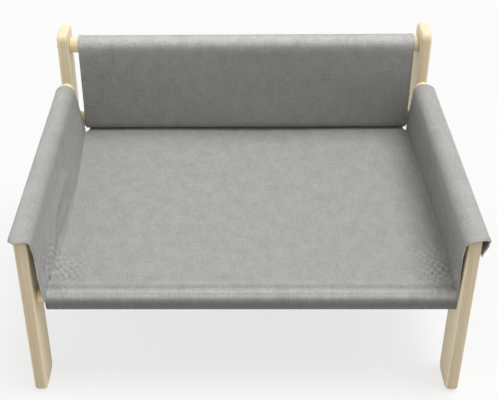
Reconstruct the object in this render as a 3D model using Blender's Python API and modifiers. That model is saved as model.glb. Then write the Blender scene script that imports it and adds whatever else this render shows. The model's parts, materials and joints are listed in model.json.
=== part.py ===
"""Elevated pet sofa: four upright boards, seven round rails and a sewn sling cover.

Metres, +Z up. The front faces -Y, and left is -X, as seen by someone who stands in front.
The origin is on the floor, under the middle of the whole sofa.
"""

import math

import bmesh
import bpy
import numpy as np

# Boards
board_thickness = 0.015
board_width = 0.050
front_leg_height = 0.238
rear_leg_height = 0.313
leg_corner = 0.011
joint_corner = 0.005
board_arris = 0.0035

# Places of the boards
clear_width = 0.500
leg_pitch = 0.383

# Rails
rail_diameter = 0.022
rail_chamfer = 0.0012
back_rail_drop = 0.0245
arm_rail_drop = 0.009
side_rail_height = 0.112

# Cover
cloth = 0.0015
sleeve_cloth = 0.0018
seat_height = 0.154
seat_width = 0.483
backrest_inset = 0.0025
cover_shift = 0.003
arm_sleeve_ease = 0.0009
arm_sleeve_drop = 0.017
arm_seam_radius = 0.0065
seat_sleeve_ease = 0.0009
seat_sleeve_drop = 0.0068
back_sleeve_ease = 0.0004
back_seam_radius = 0.0055
back_sleeve_drop = 0.014
sleeve_overhang = 0.006
sleeve_rear_gap = 0.012
arm_front_straight_foot = 0.0308
arm_front_curve_foot = 0.0132
arm_front_curve_depth = 0.003
corner_opening = 0.0075
corner_opening_length = 0.018
seat_hem = 0.007

# Fasteners
bolt_diameter = 0.006
bolt_head_diameter = 0.012
bolt_head_height = 0.0035
bolt_dome = ((0.62, 1.0), (0.90, 0.68), (1.0, 0.22))
socket_width = 0.004
socket_depth = 0.002
bolt_engagement = 0.015
insert_diameter = 0.010
insert_length = 0.013
insert_recess = 0.0005
insert_groove = 0.0006
insert_grooves = 3
pin_diameter = 0.008
pin_length = 0.030
pin_chamfer = 0.001

# Fits
clearance = 0.0003
bore_end = 0.002

# Smoothness
corner_steps = 5
joint_steps = 2
arris_steps = 3
rail_sides = 28
bore_sides = 16
bolt_sides = 16
insert_sides = 12
sleeve_step = math.radians(18)

# Worked out from the sizes above
rail_radius = rail_diameter / 2
back_rail_height = rear_leg_height - back_rail_drop
arm_rail_height = front_leg_height - arm_rail_drop
backrest_width = seat_width - backrest_inset
total_depth = sleeve_overhang + board_width + leg_pitch + bolt_head_height + clearance
front_leg_y = -total_depth / 2 + sleeve_overhang + board_width / 2
rear_leg_y = front_leg_y + leg_pitch
leg_x = clear_width / 2 + board_thickness / 2
cross_rail_length = clear_width - 2 * clearance
side_rail_length = leg_pitch - board_width - 2 * clearance
side_rail_y = (front_leg_y + rear_leg_y) / 2
front_rail_height = seat_height - sleeve_cloth - clearance - rail_radius
snug_sleeve_radius = rail_radius + clearance + sleeve_cloth
arm_sleeve_radius = snug_sleeve_radius + arm_sleeve_ease
seat_sleeve_radius = snug_sleeve_radius + seat_sleeve_ease
back_sleeve_radius = snug_sleeve_radius + back_sleeve_ease
rear_rail_height = seat_height + clearance + snug_sleeve_radius
cut_margin = 0.005

# Colours, as Principled BSDF base colours
wood_colour = (0.66, 0.50, 0.33, 1)
pin_colour = (0.58, 0.42, 0.26, 1)
cloth_colour = (0.40, 0.40, 0.385, 1)
zinc_colour = (0.60, 0.61, 0.63, 1)
insert_colour = (0.55, 0.47, 0.30, 1)


def clear_scene():
    for item in list(bpy.data.objects):
        bpy.data.objects.remove(item, do_unlink=True)


def new_collection(name):
    collection = bpy.data.collections.new(name)
    bpy.context.scene.collection.children.link(collection)
    return collection


def new_material(name, colour, roughness, metallic=0.0):
    material = bpy.data.materials.new(name)
    material.use_nodes = True
    shader = material.node_tree.nodes["Principled BSDF"]
    shader.inputs["Base Color"].default_value = colour
    shader.inputs["Roughness"].default_value = roughness
    shader.inputs["Metallic"].default_value = metallic
    return material


clear_scene()
parts = new_collection("elevated_pet_sofa")
cutters = new_collection("cutters")
sofa = bpy.data.objects.new("sofa_origin", None)
parts.objects.link(sofa)
wood = new_material("birch_board", wood_colour, 0.55)
rail_wood = new_material("birch_rail", wood_colour, 0.50)
pin_wood = new_material("beech_pin", pin_colour, 0.60)
fabric = new_material("grey_linen_weave", cloth_colour, 0.95)
zinc = new_material("zinc_plated_steel", zinc_colour, 0.35, 1.0)
yellow_zinc = new_material("yellow_zinc_insert", insert_colour, 0.40, 1.0)


def add_part(name, mesh, material, location=(0, 0, 0), rotation=(0, 0, 0)):
    """A mesh as one named piece of the sofa, parented to the sofa's origin."""
    part = bpy.data.objects.new(name, mesh)
    part.location = location
    part.rotation_euler = rotation
    part.parent = sofa
    mesh.materials.clear()
    mesh.materials.append(material)
    parts.objects.link(part)
    return part


def add_cutter(name, mesh, location=(0, 0, 0), rotation=(0, 0, 0)):
    """A mesh that only cuts: hidden in renders and drawn as wires."""
    cutter = bpy.data.objects.new(name, mesh)
    cutter.location = location
    cutter.rotation_euler = rotation
    cutter.hide_render = True
    cutter.display_type = "WIRE"
    cutters.objects.link(cutter)
    return cutter


def mesh_from(bm, name, smooth_angle=None):
    mesh = bpy.data.meshes.new(name)
    bm.to_mesh(mesh)
    bm.free()
    if smooth_angle is not None:
        mesh.shade_smooth()
        mesh.set_sharp_from_angle(angle=smooth_angle)
    return mesh


def box_mesh(name, size):
    bm = bmesh.new()
    bmesh.ops.create_cube(bm, size=1)
    bmesh.ops.scale(bm, vec=size, verts=bm.verts)
    return mesh_from(bm, name)


def cylinder_mesh(name, radius, length, sides):
    bm = bmesh.new()
    bmesh.ops.create_cone(
        bm, cap_ends=True, segments=sides, radius1=radius, radius2=radius, depth=length
    )
    return mesh_from(bm, name, math.radians(40))


def add_bevel(part, width, steps, angle=math.radians(40)):
    bevel = part.modifiers.new("rounded edges", "BEVEL")
    bevel.width = width
    bevel.segments = steps
    bevel.limit_method = "ANGLE"
    bevel.angle_limit = angle


def combine(part, other, operation, label):
    boolean = part.modifiers.new(label, "BOOLEAN")
    boolean.operation = operation
    boolean.solver = "EXACT"
    boolean.object = other


along_x = (0, math.radians(90), 0)
along_y = (math.radians(90), 0, 0)


def bore(part, label, radius, start, end):
    """A round hole along X or Y, from one point to another."""
    start = np.array(start)
    end = np.array(end)
    length = float(np.linalg.norm(end - start))
    turned = along_x if abs(end[0] - start[0]) > abs(end[1] - start[1]) else along_y
    name = part.name + "_" + label
    cutter = add_cutter(name, cylinder_mesh(name, radius, length, bore_sides), (start + end) / 2, turned)
    combine(part, cutter, "DIFFERENCE", label)


def board_mesh(name, height, top_corners):
    """An upright board. Its four corners are rounded as seen from the side."""
    bm = bmesh.new()
    bmesh.ops.create_cube(bm, size=1)
    bmesh.ops.scale(bm, vec=(board_thickness, board_width, height), verts=bm.verts)
    bmesh.ops.translate(bm, vec=(0, 0, height / 2), verts=bm.verts)
    top_front, top_rear = top_corners
    for is_top, is_front, radius in (
        (True, True, top_front),
        (True, False, top_rear),
        (False, True, leg_corner),
        (False, False, leg_corner),
    ):
        edges = []
        for edge in bm.edges:
            ends = [v.co for v in edge.verts]
            is_here = all((v.z > height / 2) == is_top and (v.y < 0) == is_front for v in ends)
            if is_here and abs(ends[0].x - ends[1].x) > board_thickness / 2:
                edges.append(edge)
        steps = corner_steps if radius > joint_corner else joint_steps
        bmesh.ops.bevel(bm, geom=edges, offset=radius, segments=steps, profile=0.5, affect="EDGES")
    return mesh_from(bm, name, math.radians(40))


def add_leg(name, side, y, height, top_corners):
    part = add_part(name, board_mesh(name, height, top_corners), wood, (side * leg_x, y, 0))
    add_bevel(part, board_arris, arris_steps)
    return part


def add_rail(name, length, location, turned):
    mesh = cylinder_mesh(name, rail_radius, length, rail_sides)
    part = add_part(name, mesh, rail_wood, location, turned)
    add_bevel(part, rail_chamfer, 1)
    return part


def turned_part(name, profile, material, sides, location, rotation):
    """A profile of (radius, height) points, turned about Z by a Screw modifier."""
    bm = bmesh.new()
    verts = [bm.verts.new((radius, 0, height)) for radius, height in profile]
    for first, second in zip(verts, verts[1:]):
        bm.edges.new((first, second))
    if profile[0][0] > 0:
        bm.edges.new((verts[-1], verts[0]))
    part = add_part(name, mesh_from(bm, name), material, location, rotation)
    screw = part.modifiers.new("turned", "SCREW")
    screw.axis = "Z"
    screw.steps = sides
    screw.render_steps = sides
    screw.use_merge_vertices = True
    screw.merge_threshold = 0.00005
    screw.use_smooth_shade = True
    return part


def bolt_profile(length):
    """From the top of the domed head down to the tip; the head sits on height 0.

    bolt_dome holds the dome's points, as shares of the head's radius and of its height.
    """
    head = bolt_head_diameter / 2
    shank = bolt_diameter / 2
    tip = shank / 3
    dome = [(head * out, bolt_head_height * up) for out, up in bolt_dome]
    return [
        (0, bolt_head_height),
        *dome,
        (head, 0),
        (shank, 0),
        (shank, -length + tip),
        (shank - tip, -length),
        (0, -length),
    ]


def add_bolt(name, length, head_seat, rotation):
    """A furniture bolt whose head's underside is at head_seat."""
    part = turned_part(name, bolt_profile(length), zinc, bolt_sides, head_seat, rotation)
    corner_radius = socket_width / math.sqrt(3)
    mesh = cylinder_mesh(name + "_socket", corner_radius, 2 * socket_depth, 6)
    cutter = add_cutter(name + "_socket", mesh, (0, 0, bolt_head_height))
    cutter.parent = part
    combine(part, cutter, "DIFFERENCE", "hex socket")


def insert_profile():
    """A threaded sleeve: ridges outside, a plain clearance bore inside."""
    outer = insert_diameter / 2
    inner = bolt_diameter / 2 + clearance
    points = [(outer, 0)]
    pitch = insert_length / (2 * insert_grooves + 1)
    for groove in range(insert_grooves):
        top = -(2 * groove + 1) * pitch
        points.append((outer, top))
        points.append((outer - insert_groove, top - pitch / 2))
        points.append((outer, top - pitch))
    points.append((outer, -insert_length))
    points.append((inner, -insert_length))
    points.append((inner, 0))
    return points


def arc(centre, radius, start, end):
    """Points from one angle to another about a centre, at most sleeve_step apart."""
    steps = max(2, math.ceil(abs(end - start) / sleeve_step) + 1)
    angles = np.linspace(start, end, steps)
    return np.array(centre) + radius * np.column_stack([np.cos(angles), np.sin(angles)])


def sleeve_loop(radius, seam_centre, seam_radius, inset=0.0):
    """The loop of cloth round a rail, in the cloth's own plane (a, b).

    The panel hangs along -b with its face on a = 0. The rail's end of the loop is a circle
    about (radius, 0) and the seam's end a smaller one, joined by their two outer tangents.
    It runs from the face, over the top and back. An inset gives the loop's inside.
    """
    top = np.array((radius, 0.0))
    seam = np.array(seam_centre)
    gap = seam - top
    heading = math.atan2(gap[1], gap[0])
    lean = math.acos((radius - seam_radius) / float(np.hypot(*gap)))
    away = heading + lean
    back = heading - lean
    start = math.pi
    while back > away:
        back -= 2 * math.pi
    while away > start:
        away -= 2 * math.pi
        back -= 2 * math.pi
    pieces = [arc(top, radius - inset, start, away), arc(seam, seam_radius - inset, away, back)]
    if back > -math.pi + sleeve_step / 4:
        pieces.append(arc(top, radius - inset, back, -math.pi))
    return np.vstack(pieces)


def loop_to_panel(radius, seam_centre, seam_radius):
    """The loop's outside, from the panel's face round to the panel's back."""
    loop = sleeve_loop(radius, seam_centre, seam_radius)
    last = len(loop) - 1
    while loop[last][0] < cloth:
        last -= 1
    outside = loop[last]
    inside = loop[last + 1]
    share = (outside[0] - cloth) / (outside[0] - inside[0])
    meeting = outside + share * (inside - outside)
    return np.vstack([loop[: last + 1], meeting])


def flat_section(name, outlines, depth):
    """Closed outlines filled as one 2D curve, holes left open, and given a depth."""
    curve = bpy.data.curves.new(name, "CURVE")
    curve.dimensions = "2D"
    curve.fill_mode = "BOTH"
    curve.extrude = depth / 2
    for outline in outlines:
        spline = curve.splines.new("POLY")
        spline.points.add(len(outline) - 1)
        for point, (x, y) in zip(spline.points, outline):
            point.co = (x, y, 0, 1)
        spline.use_cyclic_u = True
    holder = bpy.data.objects.new(name, curve)
    cutters.objects.link(holder)
    bpy.context.view_layer.update()
    evaluated = holder.evaluated_get(bpy.context.evaluated_depsgraph_get())
    mesh = bpy.data.meshes.new_from_object(evaluated)
    bpy.data.objects.remove(holder, do_unlink=True)
    bpy.data.curves.remove(curve)
    bm = bmesh.new()
    bm.from_mesh(mesh)
    bmesh.ops.remove_doubles(bm, verts=bm.verts, dist=0.00001)
    bmesh.ops.recalc_face_normals(bm, faces=bm.faces)
    bpy.data.meshes.remove(mesh)
    return mesh_from(bm, name, math.radians(30))


# A 2D outline (first, second) becomes (Y, Z) here, with its depth along X
section_along_x = (math.radians(90), 0, math.radians(90))
# and (X, Z) here, with its depth along Y
section_along_y = (math.radians(90), 0, 0)


def in_plane(points, foot, inward, upward):
    """Points of the cloth's own plane (a, b), laid out from the panel's foot."""
    return np.array(foot) + np.outer(points[:, 0], inward) + np.outer(points[:, 1], upward)


def add_seat_cover():
    """The seat's sheet, with the sleeve that holds the front rail."""
    sleeve_y = front_leg_y
    seam = (seat_sleeve_radius + seat_sleeve_drop, 0.0)
    rear_y = rear_leg_y + seat_hem
    outside = loop_to_panel(seat_sleeve_radius, seam, seat_sleeve_radius)
    hole = sleeve_loop(seat_sleeve_radius, seam, seat_sleeve_radius, sleeve_cloth)
    tail = np.array([(cloth, sleeve_y - rear_y), (0.0, sleeve_y - rear_y)])
    foot = (sleeve_y, seat_height)
    outlines = [
        in_plane(np.vstack([outside, tail]), foot, (0, -1), (-1, 0)),
        in_plane(hole[:-1], foot, (0, -1), (-1, 0)),
    ]
    width = seat_width - 2 * clearance
    mesh = flat_section("seat_cover", outlines, width)
    part = add_part("seat_cover", mesh, fabric, (cover_shift, 0, 0), section_along_x)
    for side in (-1, 1):
        name = "seat_corner_opening_" + ("left" if side < 0 else "right")
        length = corner_opening_length + seat_hem
        size = (2 * corner_opening, length + cut_margin, 4 * cloth)
        middle_y = rear_y - length + size[1] / 2
        place = (cover_shift + side * width / 2, middle_y, seat_height)
        combine(part, add_cutter(name, box_mesh(name, size), place), "DIFFERENCE", name)


def add_backrest_cover():
    """The upright sheet, with a sleeve on the back rail and one on the rear rail."""
    top_z = back_rail_height - back_sleeve_ease
    foot_z = rear_rail_height + back_sleeve_ease
    face_y = rear_leg_y - back_sleeve_radius
    seam = (back_seam_radius, -back_sleeve_drop)
    upper = loop_to_panel(back_sleeve_radius, seam, back_seam_radius)
    upper_hole = sleeve_loop(back_sleeve_radius, seam, back_seam_radius, sleeve_cloth)
    low_seam = (back_sleeve_radius + back_sleeve_ease, 0.0)
    lower = loop_to_panel(back_sleeve_radius, low_seam, back_sleeve_radius)
    lower_hole = sleeve_loop(back_sleeve_radius, low_seam, back_sleeve_radius, sleeve_cloth)
    upper_place = ((face_y, top_z), (1, 0), (0, 1))
    lower_place = ((face_y, foot_z), (1, 0), (0, -1))
    outer = np.vstack([in_plane(upper, *upper_place), in_plane(lower, *lower_place)[::-1]])
    outlines = [
        outer,
        in_plane(upper_hole[:-1], *upper_place),
        in_plane(lower_hole[:-1], *lower_place),
    ]
    mesh = flat_section("backrest_cover", outlines, backrest_width)
    add_part("backrest_cover", mesh, fabric, (cover_shift, 0, 0), section_along_x)


def arm_panel_plane(side):
    """Where the arm panel's face touches its sleeve, and its inward and upward directions.

    Distances across are from the sofa's middle outwards. The face is the tangent from the
    seat's edge to the sleeve's circle.
    """
    rail_top = arm_rail_height + rail_radius
    centre = np.array((leg_x, rail_top + clearance + sleeve_cloth - arm_sleeve_radius))
    edge = np.array((seat_width / 2 + side * cover_shift, seat_height - cloth))
    reach = edge - centre
    distance = float(np.hypot(*reach))
    angle = math.atan2(reach[1], reach[0]) - math.acos(arm_sleeve_radius / distance)
    outward = np.array((math.cos(angle), math.sin(angle)))
    touch = centre + arm_sleeve_radius * outward
    upward = (touch - edge) / np.linalg.norm(touch - edge)
    return touch, -outward, upward, float(np.linalg.norm(touch - edge))


def add_arm_cover(name, side):
    """The arm's inside panel and the sleeve over its rail and over the front leg's top."""
    touch, inward, upward, length = arm_panel_plane(side)
    seam = (arm_seam_radius, -arm_sleeve_drop)
    outside = loop_to_panel(arm_sleeve_radius, seam, arm_seam_radius)
    hole = sleeve_loop(arm_sleeve_radius, seam, arm_seam_radius, sleeve_cloth)
    tail = np.array([(cloth, -length), (0.0, -length)])
    mirror = np.array((side, 1))
    outlines = [
        in_plane(np.vstack([outside, tail]), touch, inward, upward) * mirror,
        in_plane(hole[:-1], touch, inward, upward) * mirror,
    ]
    front_y = front_leg_y - board_width / 2
    post_y = rear_leg_y - board_width / 2
    rear_edge_y = rear_leg_y - rail_radius - clearance
    depth = rear_edge_y - front_y + 2 * sleeve_overhang + 2 * cut_margin
    mesh = flat_section(name, outlines, depth)
    middle_y = (rear_edge_y + front_y) / 2
    part = add_part(name, mesh, fabric, (0, middle_y, 0), section_along_y)

    sleeve_top = arm_rail_height + rail_radius + clearance + sleeve_cloth
    sleeve_foot = sleeve_top - 2 * arm_sleeve_radius - arm_sleeve_drop + arm_seam_radius
    corner_z = rear_rail_height + rail_radius + clearance
    overhang_y = front_y - sleeve_overhang
    side_view = [
        (overhang_y, sleeve_top + cut_margin),
        (overhang_y, seat_height + arm_front_straight_foot),
        (overhang_y + arm_front_curve_depth, seat_height + arm_front_curve_foot),
        (front_leg_y - seat_sleeve_radius, seat_height - cloth),
        (front_leg_y - seat_sleeve_radius, seat_height - cloth - cut_margin),
        (rear_edge_y, seat_height - cloth - cut_margin),
        (rear_edge_y, corner_z),
        (post_y - cloth, sleeve_foot),
        (post_y - sleeve_rear_gap, sleeve_top + cut_margin),
    ]
    trim = name + "_side_view"
    trim_mesh = flat_section(trim, [side_view], 2 * arm_sleeve_radius + 4 * cut_margin)
    cutter = add_cutter(trim, trim_mesh, (side * leg_x, 0, 0), section_along_x)
    combine(part, cutter, "INTERSECT", "side view")

    slot = name + "_leg_slot"
    inner_x = leg_x - arm_sleeve_radius + sleeve_cloth + clearance
    outer_x = leg_x + board_thickness / 2 + clearance
    slot_top = front_leg_height - board_arris
    slot_foot = seat_height
    slot_rear = front_y + board_width + clearance
    size = (outer_x - inner_x, slot_rear - overhang_y + cut_margin, slot_top - slot_foot)
    place = (
        side * (outer_x + inner_x) / 2,
        slot_rear - size[1] / 2,
        (slot_top + slot_foot) / 2,
    )
    combine(part, add_cutter(slot, box_mesh(slot, size), place), "DIFFERENCE", "leg slot")


def sides():
    return ((-1, "left"), (1, "right"))


def add_legs():
    """The four upright boards, with the holes for bolts and pins."""
    for side, side_name in sides():
        outer_x = side * (leg_x + board_thickness / 2 + cut_margin)
        inner_x = side * (leg_x - board_thickness / 2 - cut_margin)
        bolt_hole = bolt_diameter / 2 + clearance
        pin_hole = pin_diameter / 2 + clearance

        top = (leg_corner, joint_corner)
        front = add_leg(f"front_{side_name}_leg", side, front_leg_y, front_leg_height, top)
        across = ((outer_x, front_leg_y, front_rail_height), (inner_x, front_leg_y, front_rail_height))
        bore(front, "front_rail_bolt", bolt_hole, *across)
        rear_edge = front_leg_y + board_width / 2
        pin_end = rear_edge - pin_length / 2
        for label, height in (("arm_rail_pin", arm_rail_height), ("side_rail_pin", side_rail_height)):
            mouth = (side * leg_x, rear_edge + cut_margin, height)
            bore(front, label, pin_hole, mouth, (side * leg_x, pin_end, height))

        top = (leg_corner, leg_corner)
        rear = add_leg(f"rear_{side_name}_leg", side, rear_leg_y, rear_leg_height, top)
        for label, height in (("rear_rail_bolt", rear_rail_height), ("back_rail_bolt", back_rail_height)):
            bore(rear, label, bolt_hole, (outer_x, rear_leg_y, height), (inner_x, rear_leg_y, height))
        front_edge = rear_leg_y - board_width / 2 - cut_margin
        back_edge = rear_leg_y + board_width / 2 + cut_margin
        for label, height in (("arm_rail_bolt", arm_rail_height), ("side_rail_bolt", side_rail_height)):
            start = (side * leg_x, front_edge, height)
            bore(rear, label, bolt_hole, start, (side * leg_x, back_edge, height))


def add_cross_rails():
    """The three rails that run from side to side, each bolted through both boards."""
    cross_rails = (
        ("front", front_leg_y, front_rail_height),
        ("rear", rear_leg_y, rear_rail_height),
        ("back", rear_leg_y, back_rail_height),
    )
    pocket = insert_diameter / 2 + clearance
    depth = bolt_engagement + bore_end
    for name, y, height in cross_rails:
        rail = add_rail(f"{name}_rail", cross_rail_length, (0, y, height), along_x)
        for side, side_name in sides():
            end_x = side * cross_rail_length / 2
            mouth = (end_x + side * cut_margin, y, height)
            bore(rail, f"{side_name}_pocket", pocket, mouth, (end_x - side * depth, y, height))

            outward = (0, side * math.radians(90), 0)
            seat_x = side * (leg_x + board_thickness / 2 + clearance)
            length = board_thickness + bolt_engagement
            add_bolt(f"bolt_{name}_{side_name}", length, (seat_x, y, height), outward)
            insert_x = end_x - side * insert_recess
            insert = f"insert_{name}_{side_name}"
            turned_part(insert, insert_profile(), yellow_zinc, insert_sides, (insert_x, y, height), outward)


def add_side_rails():
    """The arm rails and the rails under them: pinned to the front leg, bolted at the rear."""
    pocket = insert_diameter / 2 + clearance
    pin_hole = pin_diameter / 2 + clearance
    depth = bolt_engagement + bore_end
    front_end = side_rail_y - side_rail_length / 2
    rear_end = side_rail_y + side_rail_length / 2
    backward = (math.radians(-90), 0, 0)
    for side, side_name in sides():
        x = side * leg_x
        for name, height in (("arm", arm_rail_height), ("side", side_rail_height)):
            rail = add_rail(f"{side_name}_{name}_rail", side_rail_length, (x, side_rail_y, height), along_y)
            pin_end = front_end + pin_length / 2 + clearance
            bore(rail, "pin_hole", pin_hole, (x, front_end - cut_margin, height), (x, pin_end, height))
            mouth = (x, rear_end + cut_margin, height)
            bore(rail, "pocket", pocket, mouth, (x, rear_end - depth, height))

            pin_name = f"pin_{side_name}_{name}"
            pin_mesh = cylinder_mesh(pin_name, pin_diameter / 2, pin_length, bore_sides)
            pin_y = front_leg_y + board_width / 2 + clearance / 2
            pin = add_part(pin_name, pin_mesh, pin_wood, (x, pin_y, height), along_y)
            add_bevel(pin, pin_chamfer, 1)

            seat_y = rear_leg_y + board_width / 2 + clearance
            length = board_width + bolt_engagement
            add_bolt(f"long_bolt_{side_name}_{name}", length, (x, seat_y, height), backward)
            place = (x, rear_end - insert_recess, height)
            insert = f"insert_{side_name}_{name}"
            turned_part(insert, insert_profile(), yellow_zinc, insert_sides, place, backward)


def add_covers():
    add_seat_cover()
    add_backrest_cover()
    for side, side_name in sides():
        add_arm_cover(f"{side_name}_arm_cover", side)


add_legs()
add_cross_rails()
add_side_rails()
add_covers()
bpy.context.view_layer.update()
print(f"{len([item for item in parts.objects if item.type == 'MESH'])} pieces")
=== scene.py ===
# %% [markdown]
# # A raised pet sofa
# The real sofa is a wooden frame with a cloth sling. Four upright boards are joined by round
# rails, and one sewn cover makes the seat, the two arms and the backrest. This lesson loads the
# measured frame, keeps its hidden hardware, and makes the wood and the cloth that people see.

# %% Load the frame
import json
import math

import bmesh
import bpy
import numpy as np
from mathutils import Matrix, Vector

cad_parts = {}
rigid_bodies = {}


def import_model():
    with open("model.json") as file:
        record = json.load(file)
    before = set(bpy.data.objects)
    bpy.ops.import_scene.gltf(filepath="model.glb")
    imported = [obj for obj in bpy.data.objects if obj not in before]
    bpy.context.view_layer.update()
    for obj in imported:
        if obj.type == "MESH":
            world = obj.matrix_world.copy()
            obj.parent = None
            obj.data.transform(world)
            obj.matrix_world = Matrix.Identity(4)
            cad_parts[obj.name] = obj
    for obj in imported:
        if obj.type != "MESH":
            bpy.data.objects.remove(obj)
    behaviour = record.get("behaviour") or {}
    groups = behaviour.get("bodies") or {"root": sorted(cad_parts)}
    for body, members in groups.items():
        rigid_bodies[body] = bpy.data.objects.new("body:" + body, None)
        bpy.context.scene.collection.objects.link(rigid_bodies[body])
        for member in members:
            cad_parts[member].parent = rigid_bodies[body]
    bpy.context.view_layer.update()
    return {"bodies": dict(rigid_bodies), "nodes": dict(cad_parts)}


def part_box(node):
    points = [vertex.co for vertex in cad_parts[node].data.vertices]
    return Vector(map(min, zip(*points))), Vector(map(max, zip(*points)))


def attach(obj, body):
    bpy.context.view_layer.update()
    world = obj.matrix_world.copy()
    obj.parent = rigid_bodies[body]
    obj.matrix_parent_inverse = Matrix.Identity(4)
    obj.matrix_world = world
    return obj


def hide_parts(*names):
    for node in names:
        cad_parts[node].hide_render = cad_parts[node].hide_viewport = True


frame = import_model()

body = next(iter(frame["bodies"]))

# %% [markdown]
# ## The camera
# The photograph looks down on the sofa from the front, a little left of the middle. Its place
# was worked out from the straight edges of the boards and the seat. The photograph is cropped a
# little to one side, so the lens is shifted by as much. A camera's matrix is built from three
# directions at right angles: right, up and backwards.

# %% Camera
PHOTO_WIDTH = 497
SENSOR = 36.0
focal_pixels = 975.4
middle_shift = 0.062
camera_place = np.array((-0.0137, -1.1002, 0.8817))
camera_pitch = math.radians(33.723)
camera_yaw = math.radians(-1.181)
camera_roll = math.radians(-0.777)


def camera_axes(pitch, yaw, roll):
    """Right, up and backwards: first turn by yaw, then tip down by pitch, then roll."""
    level = np.array((math.sin(yaw), math.cos(yaw), 0.0))
    right = np.array((math.cos(yaw), -math.sin(yaw), 0.0))
    lift = np.array((0.0, 0.0, 1.0))
    forward = level * math.cos(pitch) - lift * math.sin(pitch)
    up = level * math.sin(pitch) + lift * math.cos(pitch)
    rolled_right = right * math.cos(roll) + up * math.sin(roll)
    rolled_up = up * math.cos(roll) - right * math.sin(roll)
    return rolled_right, rolled_up, -forward


lens = bpy.data.cameras.new("camera")
lens.sensor_fit = "HORIZONTAL"
lens.sensor_width = SENSOR
lens.lens = focal_pixels / PHOTO_WIDTH * SENSOR
lens.shift_x = middle_shift
camera = bpy.data.objects.new("camera", lens)
bpy.context.scene.collection.objects.link(camera)
bpy.context.scene.camera = camera
camera_matrix = np.eye(4)
camera_matrix[:3, :3] = np.column_stack(camera_axes(camera_pitch, camera_yaw, camera_roll))
camera_matrix[:3, 3] = camera_place
camera.matrix_world = Matrix(camera_matrix)
bpy.context.scene.view_settings.view_transform = "Standard"
print("lens of", round(lens.lens, 2), "mm")

# %% [markdown]
# ## Floor and light
# The photograph was lit by large soft lamps. Area lamps could do that, but a sun with a wide angle
# gives the same softness and lights every place alike, so two suns are used. The strong one stands
# above and to the right, so the left arm's inside is lighter than the right one's. The weak and
# wider one fills the shadows from the left. The sky adds an even light from all sides.

# %% Sky and lamps
sky_strength = 0.40
key_direction = np.array((0.165, 0.0, 0.53))
key_strength = 2.50
key_width = math.radians(36)
fill_direction = np.array((-0.50, -0.06, 0.60))
fill_strength = 0.42
fill_width = math.radians(60)


def make_sun(name, direction, strength, width):
    """A sun whose -Z points against the direction: Z is the way to it, and X is level."""
    data = bpy.data.lights.new(name, "SUN")
    data.energy = strength
    data.angle = width
    lamp = bpy.data.objects.new(name, data)
    bpy.context.scene.collection.objects.link(lamp)
    back = direction / np.linalg.norm(direction)
    across = np.cross((0.0, 0.0, 1.0), back)
    across /= np.linalg.norm(across)
    matrix = np.eye(4)
    matrix[:3, :3] = np.column_stack((across, np.cross(back, across), back))
    lamp.matrix_world = Matrix(matrix)
    return lamp


def seen_ray(nodes, links):
    """1 on rays from the camera, in mirrors and through glass, and 0 on light that bounces."""
    path = nodes.new("ShaderNodeLightPath")
    mirror = nodes.new("ShaderNodeMath")
    mirror.operation = "MAXIMUM"
    seen = nodes.new("ShaderNodeMath")
    seen.operation = "MAXIMUM"
    links.new(path.outputs["Is Glossy Ray"], mirror.inputs[0])
    links.new(path.outputs["Is Transmission Ray"], mirror.inputs[1])
    links.new(path.outputs["Is Camera Ray"], seen.inputs[0])
    links.new(mirror.outputs[0], seen.inputs[1])
    return seen.outputs[0]


def make_sky(strength):
    """An even white sky. The camera itself sees it at a strength of 1, which is plain white."""
    world = bpy.data.worlds.new("studio")
    world.use_nodes = True
    nodes = world.node_tree.nodes
    links = world.node_tree.links
    background = nodes["Background"]
    background.inputs["Color"].default_value = (1, 1, 1, 1)
    level = nodes.new("ShaderNodeMapRange")
    level.inputs["To Min"].default_value = strength
    level.inputs["To Max"].default_value = 1.0
    links.new(seen_ray(nodes, links), level.inputs["Value"])
    links.new(level.outputs["Result"], background.inputs["Strength"])
    bpy.context.scene.world = world


make_sky(sky_strength)
make_sun("key_light", key_direction, key_strength, key_width)
make_sun("fill_light", fill_direction, fill_strength, fill_width)
print("sky", sky_strength, "key light", key_strength, "fill light", fill_strength)

# %% [markdown]
# ## Floor
# The photograph's background is white. A floor that is simply white would need more light than
# the sofa, so the camera sees a mix of plain white and the lit floor: it looks nearly white, and
# the sofa's soft shadow stays. Light that bounces meets a pale grey floor instead.

# %% Floor
FLOOR_SIZE = 30.0
floor_colour = (0.70, 0.70, 0.70, 1.0)
floor_bounce = (0.88, 0.88, 0.88, 1.0)
floor_white = 0.74
floor_roughness = 0.9


def floor_material():
    """For the camera a mix of white at strength 1 and the lit floor; for bounced light grey."""
    material = bpy.data.materials.new("pale_floor")
    material.use_nodes = True
    nodes = material.node_tree.nodes
    links = material.node_tree.links
    shader = nodes["Principled BSDF"]
    shader.inputs["Roughness"].default_value = floor_roughness
    shader.inputs["Specular IOR Level"].default_value = 0.0
    seen = seen_ray(nodes, links)
    shade = nodes.new("ShaderNodeMix")
    shade.data_type = "RGBA"
    shade.inputs["A"].default_value = floor_bounce
    shade.inputs["B"].default_value = floor_colour
    links.new(seen, shade.inputs["Factor"])
    links.new(shade.outputs["Result"], shader.inputs["Base Color"])
    share = nodes.new("ShaderNodeMath")
    share.operation = "MULTIPLY"
    share.inputs[1].default_value = floor_white
    links.new(seen, share.inputs[0])
    white = nodes.new("ShaderNodeEmission")
    mixed = nodes.new("ShaderNodeMixShader")
    links.new(share.outputs[0], mixed.inputs["Fac"])
    links.new(shader.outputs[0], mixed.inputs[1])
    links.new(white.outputs[0], mixed.inputs[2])
    links.new(mixed.outputs[0], nodes["Material Output"].inputs["Surface"])
    return material


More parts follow.
